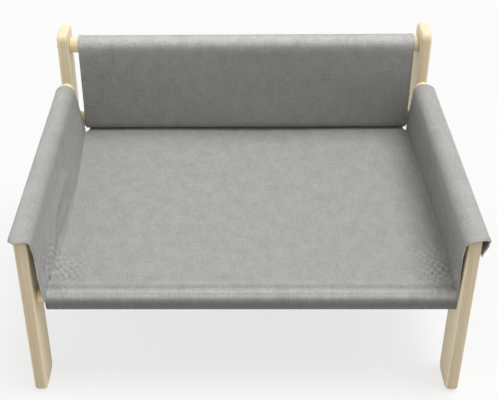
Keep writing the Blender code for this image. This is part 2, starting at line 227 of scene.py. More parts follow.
def make_floor():
    """One square on the ground, which belongs to the stage and not to the sofa."""
    corners = np.array(((-1, -1, 0), (1, -1, 0), (1, 1, 0), (-1, 1, 0))) * FLOOR_SIZE / 2
    mesh = bpy.data.meshes.new("floor")
    mesh.from_pydata(corners.tolist(), [], [(0, 1, 2, 3)])
    floor = bpy.data.objects.new("floor", mesh)
    bpy.context.scene.collection.objects.link(floor)
    mesh.materials.append(floor_material())


make_floor()
print("floor", FLOOR_SIZE, "m wide,", floor_white, "of its look is plain white")

# %% [markdown]
# ## Small tools for node groups
# Wood grain and weave are used by several materials, so each is a node group, built once. These
# helpers add a node, fill in its inputs and link it, so that a group reads like a formula.


# %% Node helpers
class Tree:
    """A node tree with short ways to add sums, textures and links."""

    def __init__(self, tree):
        """Keeps the tree that the nodes go into."""
        self.tree = tree

    def add(self, kind, **settings):
        """A new node of one kind, with its settings."""
        node = self.tree.nodes.new(kind)
        for key, value in settings.items():
            setattr(node, key, value)
        return node

    def feed(self, socket, value):
        """Links an output, or sets a plain number or colour."""
        if isinstance(value, bpy.types.NodeSocket):
            self.tree.links.new(value, socket)
        else:
            socket.default_value = value

    def sum(self, operation, first, second=0.0, third=0.0):
        """One operation on numbers: add, multiply, sine and so on."""
        node = self.add("ShaderNodeMath", operation=operation)
        for socket, value in zip(node.inputs, (first, second, third)):
            self.feed(socket, value)
        return node.outputs[0]

    def vector(self, operation, first, second=(0, 0, 0)):
        """One operation on vectors, axis by axis."""
        node = self.add("ShaderNodeVectorMath", operation=operation)
        self.feed(node.inputs[0], first)
        self.feed(node.inputs[1], second)
        return node.outputs[0]

    def join(self, x, y, z):
        """A vector from its three parts."""
        node = self.add("ShaderNodeCombineXYZ")
        for socket, value in zip(node.inputs, (x, y, z)):
            self.feed(socket, value)
        return node.outputs[0]

    def split(self, value):
        """The three parts of a vector."""
        node = self.add("ShaderNodeSeparateXYZ")
        self.feed(node.inputs[0], value)
        return node.outputs

    def noise(self, where, scale=1.0, detail=2.0, roughness=0.5, distortion=0.0):
        """Smooth noise at a place: the scale is how many lumps there are to a metre."""
        node = self.add("ShaderNodeTexNoise")
        self.feed(node.inputs["Vector"], where)
        self.feed(node.inputs["Scale"], scale)
        self.feed(node.inputs["Detail"], detail)
        self.feed(node.inputs["Roughness"], roughness)
        self.feed(node.inputs["Distortion"], distortion)
        return node.outputs["Fac"]

    def blend(self, share, low, high):
        """A plain mix of two numbers."""
        return self.sum("ADD", self.sum("MULTIPLY", self.sum("SUBTRACT", high, low), share), low)

    def ramp(self, value, low, high, new_low=0.0, new_high=1.0):
        """An S-shaped rise from one number to another while the value goes from low to high."""
        node = self.add("ShaderNodeMapRange", interpolation_type="SMOOTHSTEP")
        for name, number in (
            ("Value", value),
            ("From Min", low),
            ("From Max", high),
            ("To Min", new_low),
            ("To Max", new_high),
        ):
            self.feed(node.inputs[name], number)
        return node.outputs["Result"]

    def tint(self, share, low, high, mode="MIX"):
        """A mix of two colours, or their product at full share in the mode MULTIPLY."""
        node = self.add("ShaderNodeMix", data_type="RGBA", blend_type=mode)
        self.feed(node.inputs["Factor"], share)
        self.feed(node.inputs["A"], low)
        self.feed(node.inputs["B"], high)
        return node.outputs["Result"]


def new_group(name, inputs, outputs):
    """A shader node group with named sockets, given as (kind, name, value)."""
    group = bpy.data.node_groups.new(name, "ShaderNodeTree")
    for kind, label, value in inputs:
        socket = group.interface.new_socket(label, in_out="INPUT", socket_type="NodeSocket" + kind)
        if value is not None:
            socket.default_value = value
    for kind, label in outputs:
        group.interface.new_socket(label, in_out="OUTPUT", socket_type="NodeSocket" + kind)
    tree = Tree(group)
    entry = tree.add("NodeGroupInput").outputs
    leave = tree.add("NodeGroupOutput").inputs
    return tree, entry, leave


def use_group(tree, name, values):
    """Places a node group in a tree with its values, and gives its outputs."""
    node = tree.add("ShaderNodeGroup")
    node.node_tree = bpy.data.node_groups[name]
    for label, value in values.items():
        tree.feed(node.inputs[label], value)
    return node.outputs


# %% [markdown]
# ## Wood grain
# A sawn board shows long streaks: wide soft bands from the yearly rings, fine lines from the
# fibres, and short dark flecks. All are noise that is squeezed across the grain and drawn out
# along it. The group puts out masks, and each material mixes its own colours with them.


# %% Wood grain group
rings_per_metre = 190.0
fibres_per_metre = 1300.0
flecks_per_metre = 900.0
fleck_squash = (1.0, 1.0, 4.0)
fleck_limits = (0.66, 0.76)
fleck_depth = -0.6
sways_per_metre = 14.0
sway_reach = 0.012
seed_distance = 3.7


def build_wood_grain():
    """Noise at (x + sway, y + sway, z times the stretch), at three scales."""
    tree, entry, leave = new_group(
        "wood_grain",
        (("Vector", "Vector", None), ("Float", "Stretch", 0.03), ("Float", "Seed", 0.0)),
        (("Float", "Bands"), ("Float", "Fibres"), ("Float", "Flecks"), ("Float", "Height")),
    )
    x, y, z = tree.split(entry["Vector"])
    long = tree.sum("MULTIPLY", z, entry["Stretch"])
    shift = tree.sum("MULTIPLY", entry["Seed"], seed_distance)
    x = tree.sum("ADD", x, shift)
    y = tree.sum("ADD", y, shift)
    sway = tree.noise(tree.join(x, y, long), sways_per_metre, detail=1.0)
    drift = tree.sum("MULTIPLY", tree.sum("SUBTRACT", sway, 0.5), sway_reach)
    swayed = tree.join(tree.sum("ADD", x, drift), tree.sum("ADD", y, drift), long)
    bands = tree.noise(swayed, rings_per_metre, roughness=0.55, distortion=0.4)
    fibres = tree.noise(swayed, fibres_per_metre, roughness=0.6)
    squashed = tree.vector("MULTIPLY", swayed, fleck_squash)
    flecked = tree.noise(squashed, flecks_per_metre, detail=1.0)
    flecks = tree.ramp(flecked, *fleck_limits)
    tree.feed(leave["Bands"], bands)
    tree.feed(leave["Fibres"], fibres)
    tree.feed(leave["Flecks"], flecks)
    hollows = tree.sum("MULTIPLY", flecks, fleck_depth)
    tree.feed(leave["Height"], tree.sum("ADD", fibres, hollows))


build_wood_grain()
print("wood grain:", rings_per_metre, "bands and", fibres_per_metre, "fibres to a metre")

# %% [markdown]
# ## Edge wear
# Hands, paws and floors rub a board's edges first. A point is on an edge when it is far out on
# two axes at once, measured against the board's own box, so the mask is the second largest of
# the three distances.


# %% Edge wear group
wear_width = 0.003
wear_patches_per_metre = 90.0


def build_edge_wear():
    """Of the three depths under the box's faces, the middle one: 0 on every edge."""
    tree, entry, leave = new_group(
        "edge_wear",
        (
            ("Vector", "Vector", None),
            ("Vector", "Centre", (0, 0, 0)),
            ("Vector", "Half Size", (1, 1, 1)),
            ("Float", "Width", wear_width),
        ),
        (("Float", "Edge"),),
    )
    away = tree.vector("ABSOLUTE", tree.vector("SUBTRACT", entry["Vector"], entry["Centre"]))
    depth = tree.split(tree.vector("SUBTRACT", entry["Half Size"], away))
    smallest = tree.sum("MINIMUM", tree.sum("MINIMUM", depth[0], depth[1]), depth[2])
    largest = tree.sum("MAXIMUM", tree.sum("MAXIMUM", depth[0], depth[1]), depth[2])
    total = tree.sum("ADD", tree.sum("ADD", depth[0], depth[1]), depth[2])
    second = tree.sum("SUBTRACT", tree.sum("SUBTRACT", total, smallest), largest)
    patchy = tree.noise(entry["Vector"], wear_patches_per_metre, detail=3.0, roughness=0.6)
    reach = tree.sum("MULTIPLY", entry["Width"], tree.sum("ADD", patchy, 0.5))
    tree.feed(leave["Edge"], tree.ramp(second, 0.0, reach, 1.0, 0.0))


build_edge_wear()
print("edge wear up to", wear_width * 1000, "mm wide")

# %% [markdown]
# ## Woven cloth
# The cover is a coarse plain weave with a linen look: each yarn goes over one and under the
# next, and its thickness and shade change along it. The pattern is worked out in the cloth's own
# UV map, in metres, so it follows every bend. Even and odd squares of the weave show the yarn
# that runs one way or the other. Softer noise gives the yarns' own shades, and faint clouds.


# %% Woven cloth group
yarn_pitch = 0.0011
wander_scales = (40.0, 260.0)
wander_share = 0.9
yarn_lift = 0.55
yarn_scale = 55.0
yarn_step = 0.73
melange_scale = 330.0
cloud_scales = (60.0, 38.0)
gap_limits = (0.05, 0.42)


def cloth_place(tree, u, v, scale_u, scale_v, layer):
    """The place (u, v), stretched by two scales, in its own layer of the noise."""
    return tree.join(tree.sum("MULTIPLY", u, scale_u), tree.sum("MULTIPLY", v, scale_v), layer)


def yarn_humps(tree, across, along):
    """Sines across the yarns of both ways: each is highest where the other yarn dips under it."""
    hump_u = tree.sum("SINE", tree.sum("MULTIPLY", tree.sum("FRACT", across), math.pi))
    hump_v = tree.sum("SINE", tree.sum("MULTIPLY", tree.sum("FRACT", along), math.pi))
    lift_u = tree.sum("MULTIPLY_ADD", hump_u, 1 - yarn_lift, yarn_lift)
    lift_v = tree.sum("MULTIPLY_ADD", hump_v, 1 - yarn_lift, yarn_lift)
    return tree.sum("MULTIPLY", hump_u, lift_v), tree.sum("MULTIPLY", hump_v, lift_u)


def build_woven_cloth():
    """Squares of one yarn pitch, odd or even by the sum of their numbers, show warp or weft."""
    tree, entry, leave = new_group(
        "woven_cloth",
        (("Vector", "Vector", None), ("Float", "Pitch", yarn_pitch)),
        (
            ("Float", "Yarn"),
            ("Float", "Melange"),
            ("Float", "Cloud"),
            ("Float", "Gaps"),
            ("Float", "Height"),
        ),
    )
    u, v, _ = tree.split(entry["Vector"])
    slow, fast = wander_scales
    wander_u = tree.noise(cloth_place(tree, u, v, slow, fast, 0.0))
    wander_v = tree.noise(cloth_place(tree, u, v, fast, slow, 7.0))
    across = tree.sum("MULTIPLY_ADD", wander_v, wander_share, tree.sum("DIVIDE", u, entry["Pitch"]))
    along = tree.sum("MULTIPLY_ADD", wander_u, wander_share, tree.sum("DIVIDE", v, entry["Pitch"]))
    warp = tree.sum("FLOOR", across)
    weft = tree.sum("FLOOR", along)
    odd = tree.sum("MODULO", tree.sum("ABSOLUTE", tree.sum("ADD", warp, weft)), 2.0)
    height = tree.blend(odd, *yarn_humps(tree, across, along))
    warp_shade = tree.noise(cloth_place(tree, warp, v, yarn_step, yarn_scale, 1.0), roughness=0.6)
    weft_shade = tree.noise(cloth_place(tree, u, weft, yarn_scale, yarn_step, 4.0), roughness=0.6)
    yarn = tree.blend(odd, warp_shade, weft_shade)
    melange_place = cloth_place(tree, u, v, melange_scale, melange_scale, 2.0)
    cloud_place = cloth_place(tree, u, v, *cloud_scales, 9.0)
    tree.feed(leave["Yarn"], yarn)
    tree.feed(leave["Melange"], tree.noise(melange_place, detail=3.0, roughness=0.65))
    tree.feed(leave["Cloud"], tree.noise(cloud_place, detail=4.0, roughness=0.55))
    tree.feed(leave["Gaps"], tree.ramp(height, *gap_limits, 1.0, 0.0))
    tree.feed(leave["Height"], tree.sum("MULTIPLY", height, tree.sum("ADD", yarn, 0.5)))


build_woven_cloth()
print("weave with a yarn every", yarn_pitch * 1000, "mm")

# %% [markdown]
# ## The finishes
# Each material places the groups with its own values. Numbers that are the same all over, such
# as sheen, sit on the shader's own sockets. The boards' narrow front and rear edges look darker
# than the planed faces, most of all at the front, and this is painted shade: the colour is
# darkened where a face points along Y.


# %% Material helpers
def new_material(name):
    """A material with the plain shader, and short ways to add nodes to it."""
    material = bpy.data.materials.new(name)
    material.use_nodes = True
    tree = Tree(material.node_tree)
    return material, tree, material.node_tree.nodes["Principled BSDF"]


def object_place(tree):
    """The place on the object in its own coordinates, in metres."""
    return tree.add("ShaderNodeTexCoord").outputs["Object"]


def raise_surface(tree, shader, height, distance, strength=1.0):
    """Tilts the shading as if the surface stood out by height times distance."""
    bump = tree.add("ShaderNodeBump")
    bump.inputs["Strength"].default_value = strength
    bump.inputs["Distance"].default_value = distance
    tree.feed(bump.inputs["Height"], height)
    tree.feed(shader.inputs["Normal"], bump.outputs["Normal"])


# %% Wood tones
wood_light = (0.92, 0.80, 0.57, 1)
wood_middle = (0.84, 0.69, 0.44, 1)
wood_dark = (0.56, 0.38, 0.20, 1)
wood_worn = (0.90, 0.80, 0.62, 1)
# Painted shade: faces along Y are darkened towards this tone, by a share for each end's boards.
painted_side_shade_tone = (0.64, 0.63, 0.63, 1)
painted_side_shade_shares = {"front": 0.92, "rear": 0.35}
beech_light = (0.66, 0.46, 0.28, 1)
beech_dark = (0.45, 0.28, 0.15, 1)
birch_tones = (wood_light, wood_middle, wood_dark)
beech_tones = (beech_light, beech_dark, beech_dark)

# %% Wood finishes
band_limits = (0.30, 0.70)
fibre_limits = (0.45, 0.80)
fibre_share = 0.40
fleck_share = 0.45
wear_share = 0.45
painted_side_shade_limits = (0.55, 0.90)
sanded_limits = (0.3, 0.7)
sanded_roughness = (0.50, 0.62)
worn_roughness = 0.42
grain_relief = 0.00012


def wear_mask(tree, box):
    """The edge wear group, placed round the piece's own box."""
    low, high = (np.array(corner) for corner in box)
    values = {
        "Vector": object_place(tree),
        "Centre": tuple((low + high) / 2),
        "Half Size": tuple((high - low) / 2),
    }
    return use_group(tree, "edge_wear", values)["Edge"]


def wood_finish(name, grain_axis, seed, box, tones=birch_tones, painted_side_shade_share=0.0):
    """Sanded wood, grain along one axis, painted shade by a share where it faces along Y."""
    material, tree, shader = new_material(name)
    light, middle, dark = tones
    x, y, z = tree.split(object_place(tree))
    turned = {"X": (y, z, x), "Y": (z, x, y), "Z": (x, y, z)}[grain_axis]
    grain = use_group(tree, "wood_grain", {"Vector": tree.join(*turned), "Seed": float(seed)})
    worn = wear_mask(tree, box)
    colour = tree.tint(tree.ramp(grain["Bands"], *band_limits), light, middle)
    colour = tree.tint(tree.ramp(grain["Fibres"], *fibre_limits, 0.0, fibre_share), colour, middle)
    colour = tree.tint(tree.sum("MULTIPLY", grain["Flecks"], fleck_share), colour, dark)
    colour = tree.tint(tree.sum("MULTIPLY", worn, wear_share), colour, wood_worn)
    # Painted shade on faces that point along Y.
    facing = tree.split(tree.add("ShaderNodeTexCoord").outputs["Normal"])[1]
    painted_side_shade = tree.ramp(tree.sum("ABSOLUTE", facing), *painted_side_shade_limits, 0.0, painted_side_shade_share)
    tree.feed(shader.inputs["Base Color"], tree.tint(painted_side_shade, colour, painted_side_shade_tone, "MULTIPLY"))
    rough = tree.ramp(grain["Fibres"], *sanded_limits, *sanded_roughness)
    tree.feed(shader.inputs["Roughness"], tree.blend(worn, rough, worn_roughness))
    shader.inputs["Specular IOR Level"].default_value = 0.35
    raise_surface(tree, shader, grain["Height"], grain_relief, 0.6)
    return material


# %% Metal finishes
stains_per_metre = 420.0
stain_limits = (0.35, 0.75)
stain_roughness = 0.14
tool_marks_per_metre = 3800.0
tool_mark_stretch = (1.0, 1.0, 0.15)
tool_mark_depth = 0.00003


def metal_finish(name, base, stain, roughness):
    """Plated steel: a thin, slightly cloudy plating with fine marks from tools."""
    material, tree, shader = new_material(name)
    place = object_place(tree)
    cloud = tree.noise(place, stains_per_metre, detail=3.0, roughness=0.6)
    stretched = tree.vector("MULTIPLY", place, tool_mark_stretch)
    marks = tree.noise(stretched, tool_marks_per_metre, detail=1.0)
    tree.feed(shader.inputs["Base Color"], tree.tint(tree.ramp(cloud, *stain_limits), base, stain))
    rough = tree.ramp(cloud, *sanded_limits, roughness, roughness + stain_roughness)
    tree.feed(shader.inputs["Roughness"], rough)
    shader.inputs["Metallic"].default_value = 1.0
    raise_surface(tree, shader, marks, tool_mark_depth, 0.5)
    return material


zinc_tones = ((0.60, 0.61, 0.63, 1), (0.44, 0.45, 0.47, 1))
yellow_zinc_tones = ((0.60, 0.50, 0.30, 1), (0.50, 0.40, 0.34, 1))
zinc = metal_finish("zinc_plating", *zinc_tones, 0.28)
yellow_zinc = metal_finish("yellow_zinc_plating", *yellow_zinc_tones, 0.32)

# %% Linen finish
cloth_light = (0.472, 0.470, 0.453, 1)
cloth_middle = (0.378, 0.376, 0.362, 1)
cloth_dark = (0.245, 0.242, 0.230, 1)
melange_share = 0.45
shade_limits = (0.36, 0.64)
dark_yarn_limits = (0.28, 0.42)
dark_yarn_share = 0.50
pinhole_share = 0.45
cloud_limits = (0.30, 0.70)
cloud_levels = (0.94, 1.06)
nap_roughness = (0.98, 0.86)
weave_relief = 0.00045


def linen_finish(name):
    """A matt grey weave, times the painted light and shade in each cloth's attribute."""
    material, tree, shader = new_material(name)
    place = tree.add("ShaderNodeUVMap", uv_map="cloth").outputs["UV"]
    weave = use_group(tree, "woven_cloth", {"Vector": place})
    shade = tree.blend(melange_share, weave["Yarn"], weave["Melange"])
    # Painted light and shade, read from the cloth's attribute.
    painted_light_level = tree.add("ShaderNodeAttribute", attribute_name="shade").outputs["Fac"]
    dark_yarns = tree.ramp(weave["Yarn"], *dark_yarn_limits, dark_yarn_share, 0.0)
    colour = tree.tint(tree.ramp(shade, *shade_limits), cloth_middle, cloth_light)
    colour = tree.tint(dark_yarns, colour, cloth_dark)
    colour = tree.tint(tree.sum("MULTIPLY", weave["Gaps"], pinhole_share), colour, cloth_dark)
    clouds = tree.ramp(weave["Cloud"], *cloud_limits, *cloud_levels)
    level = tree.sum("MULTIPLY", painted_light_level, clouds)
    tree.feed(shader.inputs["Base Color"], tree.tint(1.0, colour, level, "MULTIPLY"))
    tree.feed(shader.inputs["Roughness"], tree.ramp(weave["Height"], 0.0, 1.0, *nap_roughness))
    shader.inputs["Specular IOR Level"].default_value = 0.18
    shader.inputs["Sheen Weight"].default_value = 0.12
    shader.inputs["Sheen Roughness"].default_value = 0.5
    raise_surface(tree, shader, weave["Height"], weave_relief, 0.9)
    return material


# %% Thread finish
thread_light = (0.40, 0.395, 0.375, 1)
thread_dark = (0.27, 0.265, 0.25, 1)
twists_per_stitch = 2
twist_limits = (-0.6, 0.6)
thread_roughness = (0.75, 0.6)
twist_relief = 0.0001


def thread_finish(name):
    """Sewing thread: two shades that wind round each other along every stitch."""
    material, tree, shader = new_material(name)
    place = tree.add("ShaderNodeUVMap", uv_map="cloth").outputs["UV"]
    u, v, _ = tree.split(place)
    turns = tree.sum("MULTIPLY", tree.sum("ADD", u, v), twists_per_stitch * 2 * math.pi)
    twist = tree.sum("SINE", turns)
    colour = tree.tint(tree.ramp(twist, *twist_limits), thread_dark, thread_light)
    tree.feed(shader.inputs["Base Color"], colour)
    tree.feed(shader.inputs["Roughness"], tree.ramp(twist, -1.0, 1.0, *thread_roughness))
    raise_surface(tree, shader, twist, twist_relief, 0.6)
    return material


linen = linen_finish("grey_linen_weave")
thread = thread_finish("grey_sewing_thread")
print("finishes", [material.name for material in (zinc, yellow_zinc, linen, thread)])

# %% [markdown]
# ## Surfaces from grids
# Every visible piece is a grid of points. A turned piece has rings that close on themselves and
# end in a pole. A cloth is two grids, a half thickness to each side of its middle surface, which
# share their rim, so that the sheet is one closed skin.


# %% Mesh helpers
wood_sharp_angle = 35.0


def grid_faces(numbers):
    """Quads between the neighbouring rows and columns of an array of vertex numbers."""
    quads = np.stack((numbers[:-1, :-1], numbers[:-1, 1:], numbers[1:, 1:], numbers[1:, :-1]), -1)
    return quads.reshape(-1, 4)


def make_piece(name, points, quads, triangles, uv, material, slot, sharp):
    """A mesh piece with outward normals, sharp past an angle, that rides on the sofa."""
    faces = quads.tolist() + triangles.tolist()
    mesh = bpy.data.meshes.new(name)
    mesh.from_pydata(points.tolist(), [], faces)
    bm = bmesh.new()
    bm.from_mesh(mesh)
    bmesh.ops.recalc_face_normals(bm, faces=bm.faces)
    bm.to_mesh(mesh)
    bm.free()
    mesh.shade_smooth()
    mesh.set_sharp_from_angle(angle=math.radians(sharp))
    corner_points = np.zeros(len(mesh.loops), dtype=np.int32)
    mesh.loops.foreach_get("vertex_index", corner_points)
    layer = mesh.uv_layers.new(name="cloth")
    layer.data.foreach_set("uv", uv[corner_points].astype(np.float32).ravel())
    mesh.materials.append(material)
    piece = bpy.data.objects.new(name, mesh)
    bpy.context.scene.collection.objects.link(piece)
    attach(piece, body)
    print(name, len(points), "points,", len(faces), "faces")
    return piece


def rings_to_mesh(rings):
    """Closed rings of points, whose first and last are poles: quads between, fans at the ends."""
    count, around = rings.shape[:2]
    points = np.vstack((rings[:1, 0], rings[1:-1].reshape(-1, 3), rings[-1:, 0]))
    numbers = 1 + np.arange((count - 2) * around).reshape(count - 2, around)
    wrapped = np.hstack((numbers, numbers[:, :1]))
    first = np.column_stack((np.zeros(around, int), wrapped[0, 1:], wrapped[0, :-1]))
    last = np.column_stack((np.full(around, len(points) - 1), wrapped[-1, :-1], wrapped[-1, 1:]))
    return points, grid_faces(wrapped), np.vstack((first, last))


def make_rings(name, rings, material, slot, sharp=wood_sharp_angle):
    """A piece from closed rings. Its finish is placed by the object, so its UV map is empty."""
    points, quads, triangles = rings_to_mesh(rings)
    uv = np.zeros((len(points), 2))
    return make_piece(name, points, quads, triangles, uv, material, slot, sharp)


def arc(centre, radius, start, end, steps):
    """Points on a circle from one angle to another."""
    angles = np.linspace(start, end, steps)
    return np.array(centre) + radius * np.column_stack((np.cos(angles), np.sin(angles)))


# %% [markdown]
# ## The four boards
# Each board is sawn from flat stock, its corners rounded and its long edges rounded over. The
# outline is seen from the side. Rings of it are carried across the thickness, and drawn inwards
# near both faces by a quarter circle, which makes the rounded-over edge.


# %% Boards
corner_radius = 0.011
joint_radius = 0.005
arris_radius = 0.0042
CORNER_POINTS = 14
ARRIS_POINTS = 7


def rounded_outline(low, high, radii, inset):
    """A rectangle in Y and Z with four rounded corners, moved inwards by an inset."""
    ways_in = (
        ((high[1], low[2]), (-1, 1), -0.5 * math.pi, radii[0]),
        ((high[1], high[2]), (-1, -1), 0.0, radii[1]),
        ((low[1], high[2]), (1, -1), 0.5 * math.pi, radii[2]),
        ((low[1], low[2]), (1, 1), math.pi, radii[3]),
    )
    corners = []
    for (y, z), (side_y, side_z), start, radius in ways_in:
        centre = (y + side_y * radius, z + side_z * radius)
        corners.append(arc(centre, radius - inset, start, start + math.pi / 2, CORNER_POINTS))
    return np.vstack(corners)


def board_rings(low, high, radii):
    """Outlines across the board: with radius r the inset is r(1 - sin t), the depth r(1 - cos t)."""
    turn = np.linspace(0, math.pi / 2, ARRIS_POINTS)
    inset = arris_radius * (1 - np.sin(turn))
    depth = arris_radius * (1 - np.cos(turn))
    across = np.concatenate((low[0] + depth, (high[0] - depth)[::-1]))
    insets = np.concatenate((inset, inset[::-1]))
    rings = []
    for x, inward in zip(across, insets):
        outline = rounded_outline(low, high, radii, inward)
        rings.append(np.column_stack((np.full(len(outline), x), outline)))
    middle = (low + high) / 2
    poles = [np.tile((x, middle[1], middle[2]), (len(rings[0]), 1)) for x in (low[0], high[0])]
    return np.array([poles[0]] + rings + [poles[1]])


def make_board(end, side, seed):
    """A board over one leg of the frame. A front board's upper rear corner is sharper."""
    node = f"{end}_{side}_leg"
    low, high = (np.array(corner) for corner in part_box(node))
    top_rear = joint_radius if end == "front" else corner_radius
    radii = (corner_radius, top_rear, corner_radius, corner_radius)
    name = f"birch_{end}_{side}"
    finish = wood_finish(name, "Z", seed, (low, high), painted_side_shade_share=painted_side_shade_shares[end])
    rings = board_rings(low, high, radii)
    board = make_rings(f"{end}_{side}_board", rings, finish, "birch_board")
    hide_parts(node)


make_board("front", "left", 1)
make_board("front", "right", 2)
make_board("rear", "left", 3)
make_board("rear", "right", 4)

# %% [markdown]
# ## Turned pieces
# A rail, a bolt or a pin is a profile turned round an axis: each ring has its own radius and its
# own place along the axis. Where a ring's radius depends on the angle as well, it can be a
# hexagon, and that gives the bolts their key sockets.


# %% Turned surfaces
TURNED_SIDES = 72


def frame_along(direction):
    """Three directions at right angles, of which the last is the axis."""
    axis = np.array(direction, float)
    axis /= np.linalg.norm(axis)
    helper = np.array((0.0, 0.0, 1.0)) if abs(axis[2]) < 0.9 else np.array((1.0, 0.0, 0.0))
    first = np.cross(helper, axis)
    first /= np.linalg.norm(first)
    return first, np.cross(axis, first), axis


def turned_rings(profile, origin, direction, sides=TURNED_SIDES):
    """Rings about an axis. A profile row is (radius, place along, how much it is a hexagon)."""
    first, second, axis = frame_along(direction)
    angles = np.linspace(0, 2 * math.pi, sides, endpoint=False)
    sixth = math.pi / 3
    hexagon = math.cos(sixth / 2) / np.cos((angles % sixth) - sixth / 2)
    radius, place, share = np.array(profile, float).T
    reach = radius[:, None] * (1 + share[:, None] * (hexagon / math.cos(sixth / 2) - 1))
    ring = np.cos(angles)[:, None] * first + np.sin(angles)[:, None] * second
    return np.array(origin) + reach[..., None] * ring + place[:, None, None] * axis


# %% Rails
rail_chamfer = 0.0012
RAIL_RINGS = 24
CHAMFER_RINGS = 5
first_rail_seed = 11
rail_axes = {
    "front_rail": 0,
    "rear_rail": 0,
    "back_rail": 0,
    "left_arm_rail": 1,
    "right_arm_rail": 1,
    "left_side_rail": 1,
    "right_side_rail": 1,
}


def rail_profile(radius, length):
    """A flat end, a small rounded edge, the long side, and the same again."""
    turn = np.linspace(0, math.pi / 2, CHAMFER_RINGS)
    worn_radius = radius - rail_chamfer * (1 - np.sin(turn))
    edge = np.column_stack((worn_radius, rail_chamfer * (1 - np.cos(turn))))
    places = np.linspace(rail_chamfer, length - rail_chamfer, RAIL_RINGS)
    side = np.column_stack((np.full(RAIL_RINGS, radius), places))
    far = np.column_stack((edge[::-1, 0], length - edge[::-1, 1]))
    rows = np.vstack(((0, 0), edge, side[1:-1], far, (0, length)))
    return np.column_stack((rows, np.zeros(len(rows))))


def make_rail(node, axis, seed):
    """A rail in the middle of the node's box, along one axis from one end to the other."""
    low, high = (np.array(corner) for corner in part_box(node))
    origin = (low + high) / 2
    origin[axis] = low[axis]
    radius = (high[2] - low[2]) / 2
    finish = wood_finish(f"birch_{node}", "XYZ"[axis], seed, (low, high))
    rings = turned_rings(rail_profile(radius, high[axis] - low[axis]), origin, np.eye(3)[axis])
    rail = make_rings(f"{node}_turned", rings, finish, "birch_rail")
    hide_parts(node)


for number, (node, axis) in enumerate(rail_axes.items()):
    make_rail(node, axis, first_rail_seed + number)

# %% Bolts
BOLT_SIDES = 48
bolt_sharp_angle = 28.0
thread_radius = 0.003
head_radius = 0.006
head_height = 0.0035
head_edge = 0.0003
dome_start = 0.12
dome_bend = 0.62
socket_width = 0.004
socket_radius = socket_width / math.sqrt(3)
socket_depth = 0.002
socket_rim = 1.45
socket_mouth = 1.04
socket_edge = 0.00015
socket_tip = 0.0004
DOME_RINGS = 9


def bolt_profile(length):
    """From the tip up: shank, flat underside, rounded head, then down into the hexagon socket."""
    tip = thread_radius / 3
    turn = np.linspace(dome_start, 1, DOME_RINGS)
    dome_radius = head_radius * np.sqrt(1 - (turn * dome_bend) ** 2)
    dome_height = head_height * turn
    rows = [(0, -length, 0), (thread_radius - tip, -length, 0), (thread_radius, -length + tip, 0)]
    rows += [(thread_radius, 0, 0), (head_radius - head_edge, 0, 0)]
    rows += [(radius, height, 0) for radius, height in zip(dome_radius, dome_height)]
    rows += [(socket_radius * socket_rim, head_height, 0)]
    rows += [(socket_radius * socket_mouth, head_height, 1)]
    rows += [(socket_radius, head_height - socket_edge, 1)]
    rows += [(socket_radius, head_height - socket_depth, 1)]
    rows += [(0, head_height - socket_depth - socket_tip, 0)]
    return rows


def make_bolt(node, direction):
    """The head's underside is one head height inside the node's outer end."""
    low, high = (np.array(corner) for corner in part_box(node))
    axis = int(np.argmax(np.abs(direction)))
    outer = high if direction[axis] > 0 else low
    origin = (low + high) / 2
    origin[axis] = outer[axis] - np.sign(direction[axis]) * head_height
    length = high[axis] - low[axis] - head_height
    rings = turned_rings(bolt_profile(length), origin, direction, BOLT_SIDES)
    bolt = make_rings(f"{node}_turned", rings, zinc, "zinc_plated_steel", bolt_sharp_angle)
    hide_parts(node)


for side, way in (("left", -1), ("right", 1)):
    for rail in ("front", "rear", "back"):
        make_bolt(f"bolt_{rail}_{side}", (way, 0, 0))
    for rail in ("arm", "side"):
        make_bolt(f"long_bolt_{side}_{rail}", (0, 1, 0))

# %% [markdown]
# ## The hidden hardware
# The threaded inserts and the wooden pins are inside the wood. They stay as the frame has them
# and only get their finishes.


# %% Inserts and pins
def paint_node(name, material):
    """Gives a solid of the frame one material, and leaves its mesh as it is."""
    mesh = frame["nodes"][name].data
    mesh.materials.clear()
    mesh.materials.append(material)


pin_seed = 31
beech = wood_finish("beech_pin", "Y", pin_seed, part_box("pin_left_arm"), beech_tones)
for name in frame["nodes"]:
    if name.startswith("insert_"):
        paint_node(name, yellow_zinc)
    if name.startswith("pin_"):
        paint_node(name, beech)
hidden = [name for name in frame["nodes"] if name.startswith(("insert_", "pin_"))]
print("painted", len(hidden), "hidden nodes")

# %% [markdown]
# ## How a cloth panel is made
# A panel starts as its middle surface, given by the distance along its section and the distance
# across it. Steps are small where the cloth bends sharply. At every free edge the half thickness
# falls to nothing along a quarter circle, which rounds the folded hem, and a hem is thicker than
# the single cloth beside it. A closed skin like this has the cloth's real thickness, which a bare
# surface wouldn't show at a hem.

# %% Distances over a panel
single_cloth = 0.0013
half_cloth = single_cloth / 2
hem_width = 0.009
hem_extra = 0.55
hem_step = 0.0016
edge_margin = 1.6 * single_cloth
RULER_POINTS = 4001
RIM_TURNS = np.linspace(0, math.pi / 2, 5)
rim_places = single_cloth * (1 - np.cos(RIM_TURNS))


def smooth(value):
    """0 below 0, 1 above 1, and an S-shaped curve between."""
    held = np.clip(value, 0, 1)
    return held * held * (3 - 2 * held)


def stations(length, coarse, fine_spots=()):
    """Distances from 0 to a length. Spots are (place, reach, step): the step shrinks near them.

    Steps are counted along a fine ruler, one over the step for each unit of length, and a
    distance is noted at each whole count. Both ends get the close distances of a rounded rim.
    """
    ruler = np.linspace(0, length, RULER_POINTS)
    step = np.full_like(ruler, coarse)
    for place, reach, small in fine_spots:
        near = smooth(1 - np.abs(ruler - place) / reach)
        step = np.minimum(step, coarse + (small - coarse) * near)
    count = np.concatenate(((0,), np.cumsum(np.diff(ruler) / step[:-1])))
    whole = np.interp(np.linspace(0, count[-1], max(int(count[-1]), 2) + 1), count, ruler)
    inner = whole[(whole > edge_margin) & (whole < length - edge_margin)]
    return np.concatenate((rim_places, inner, (length - rim_places)[::-1]))


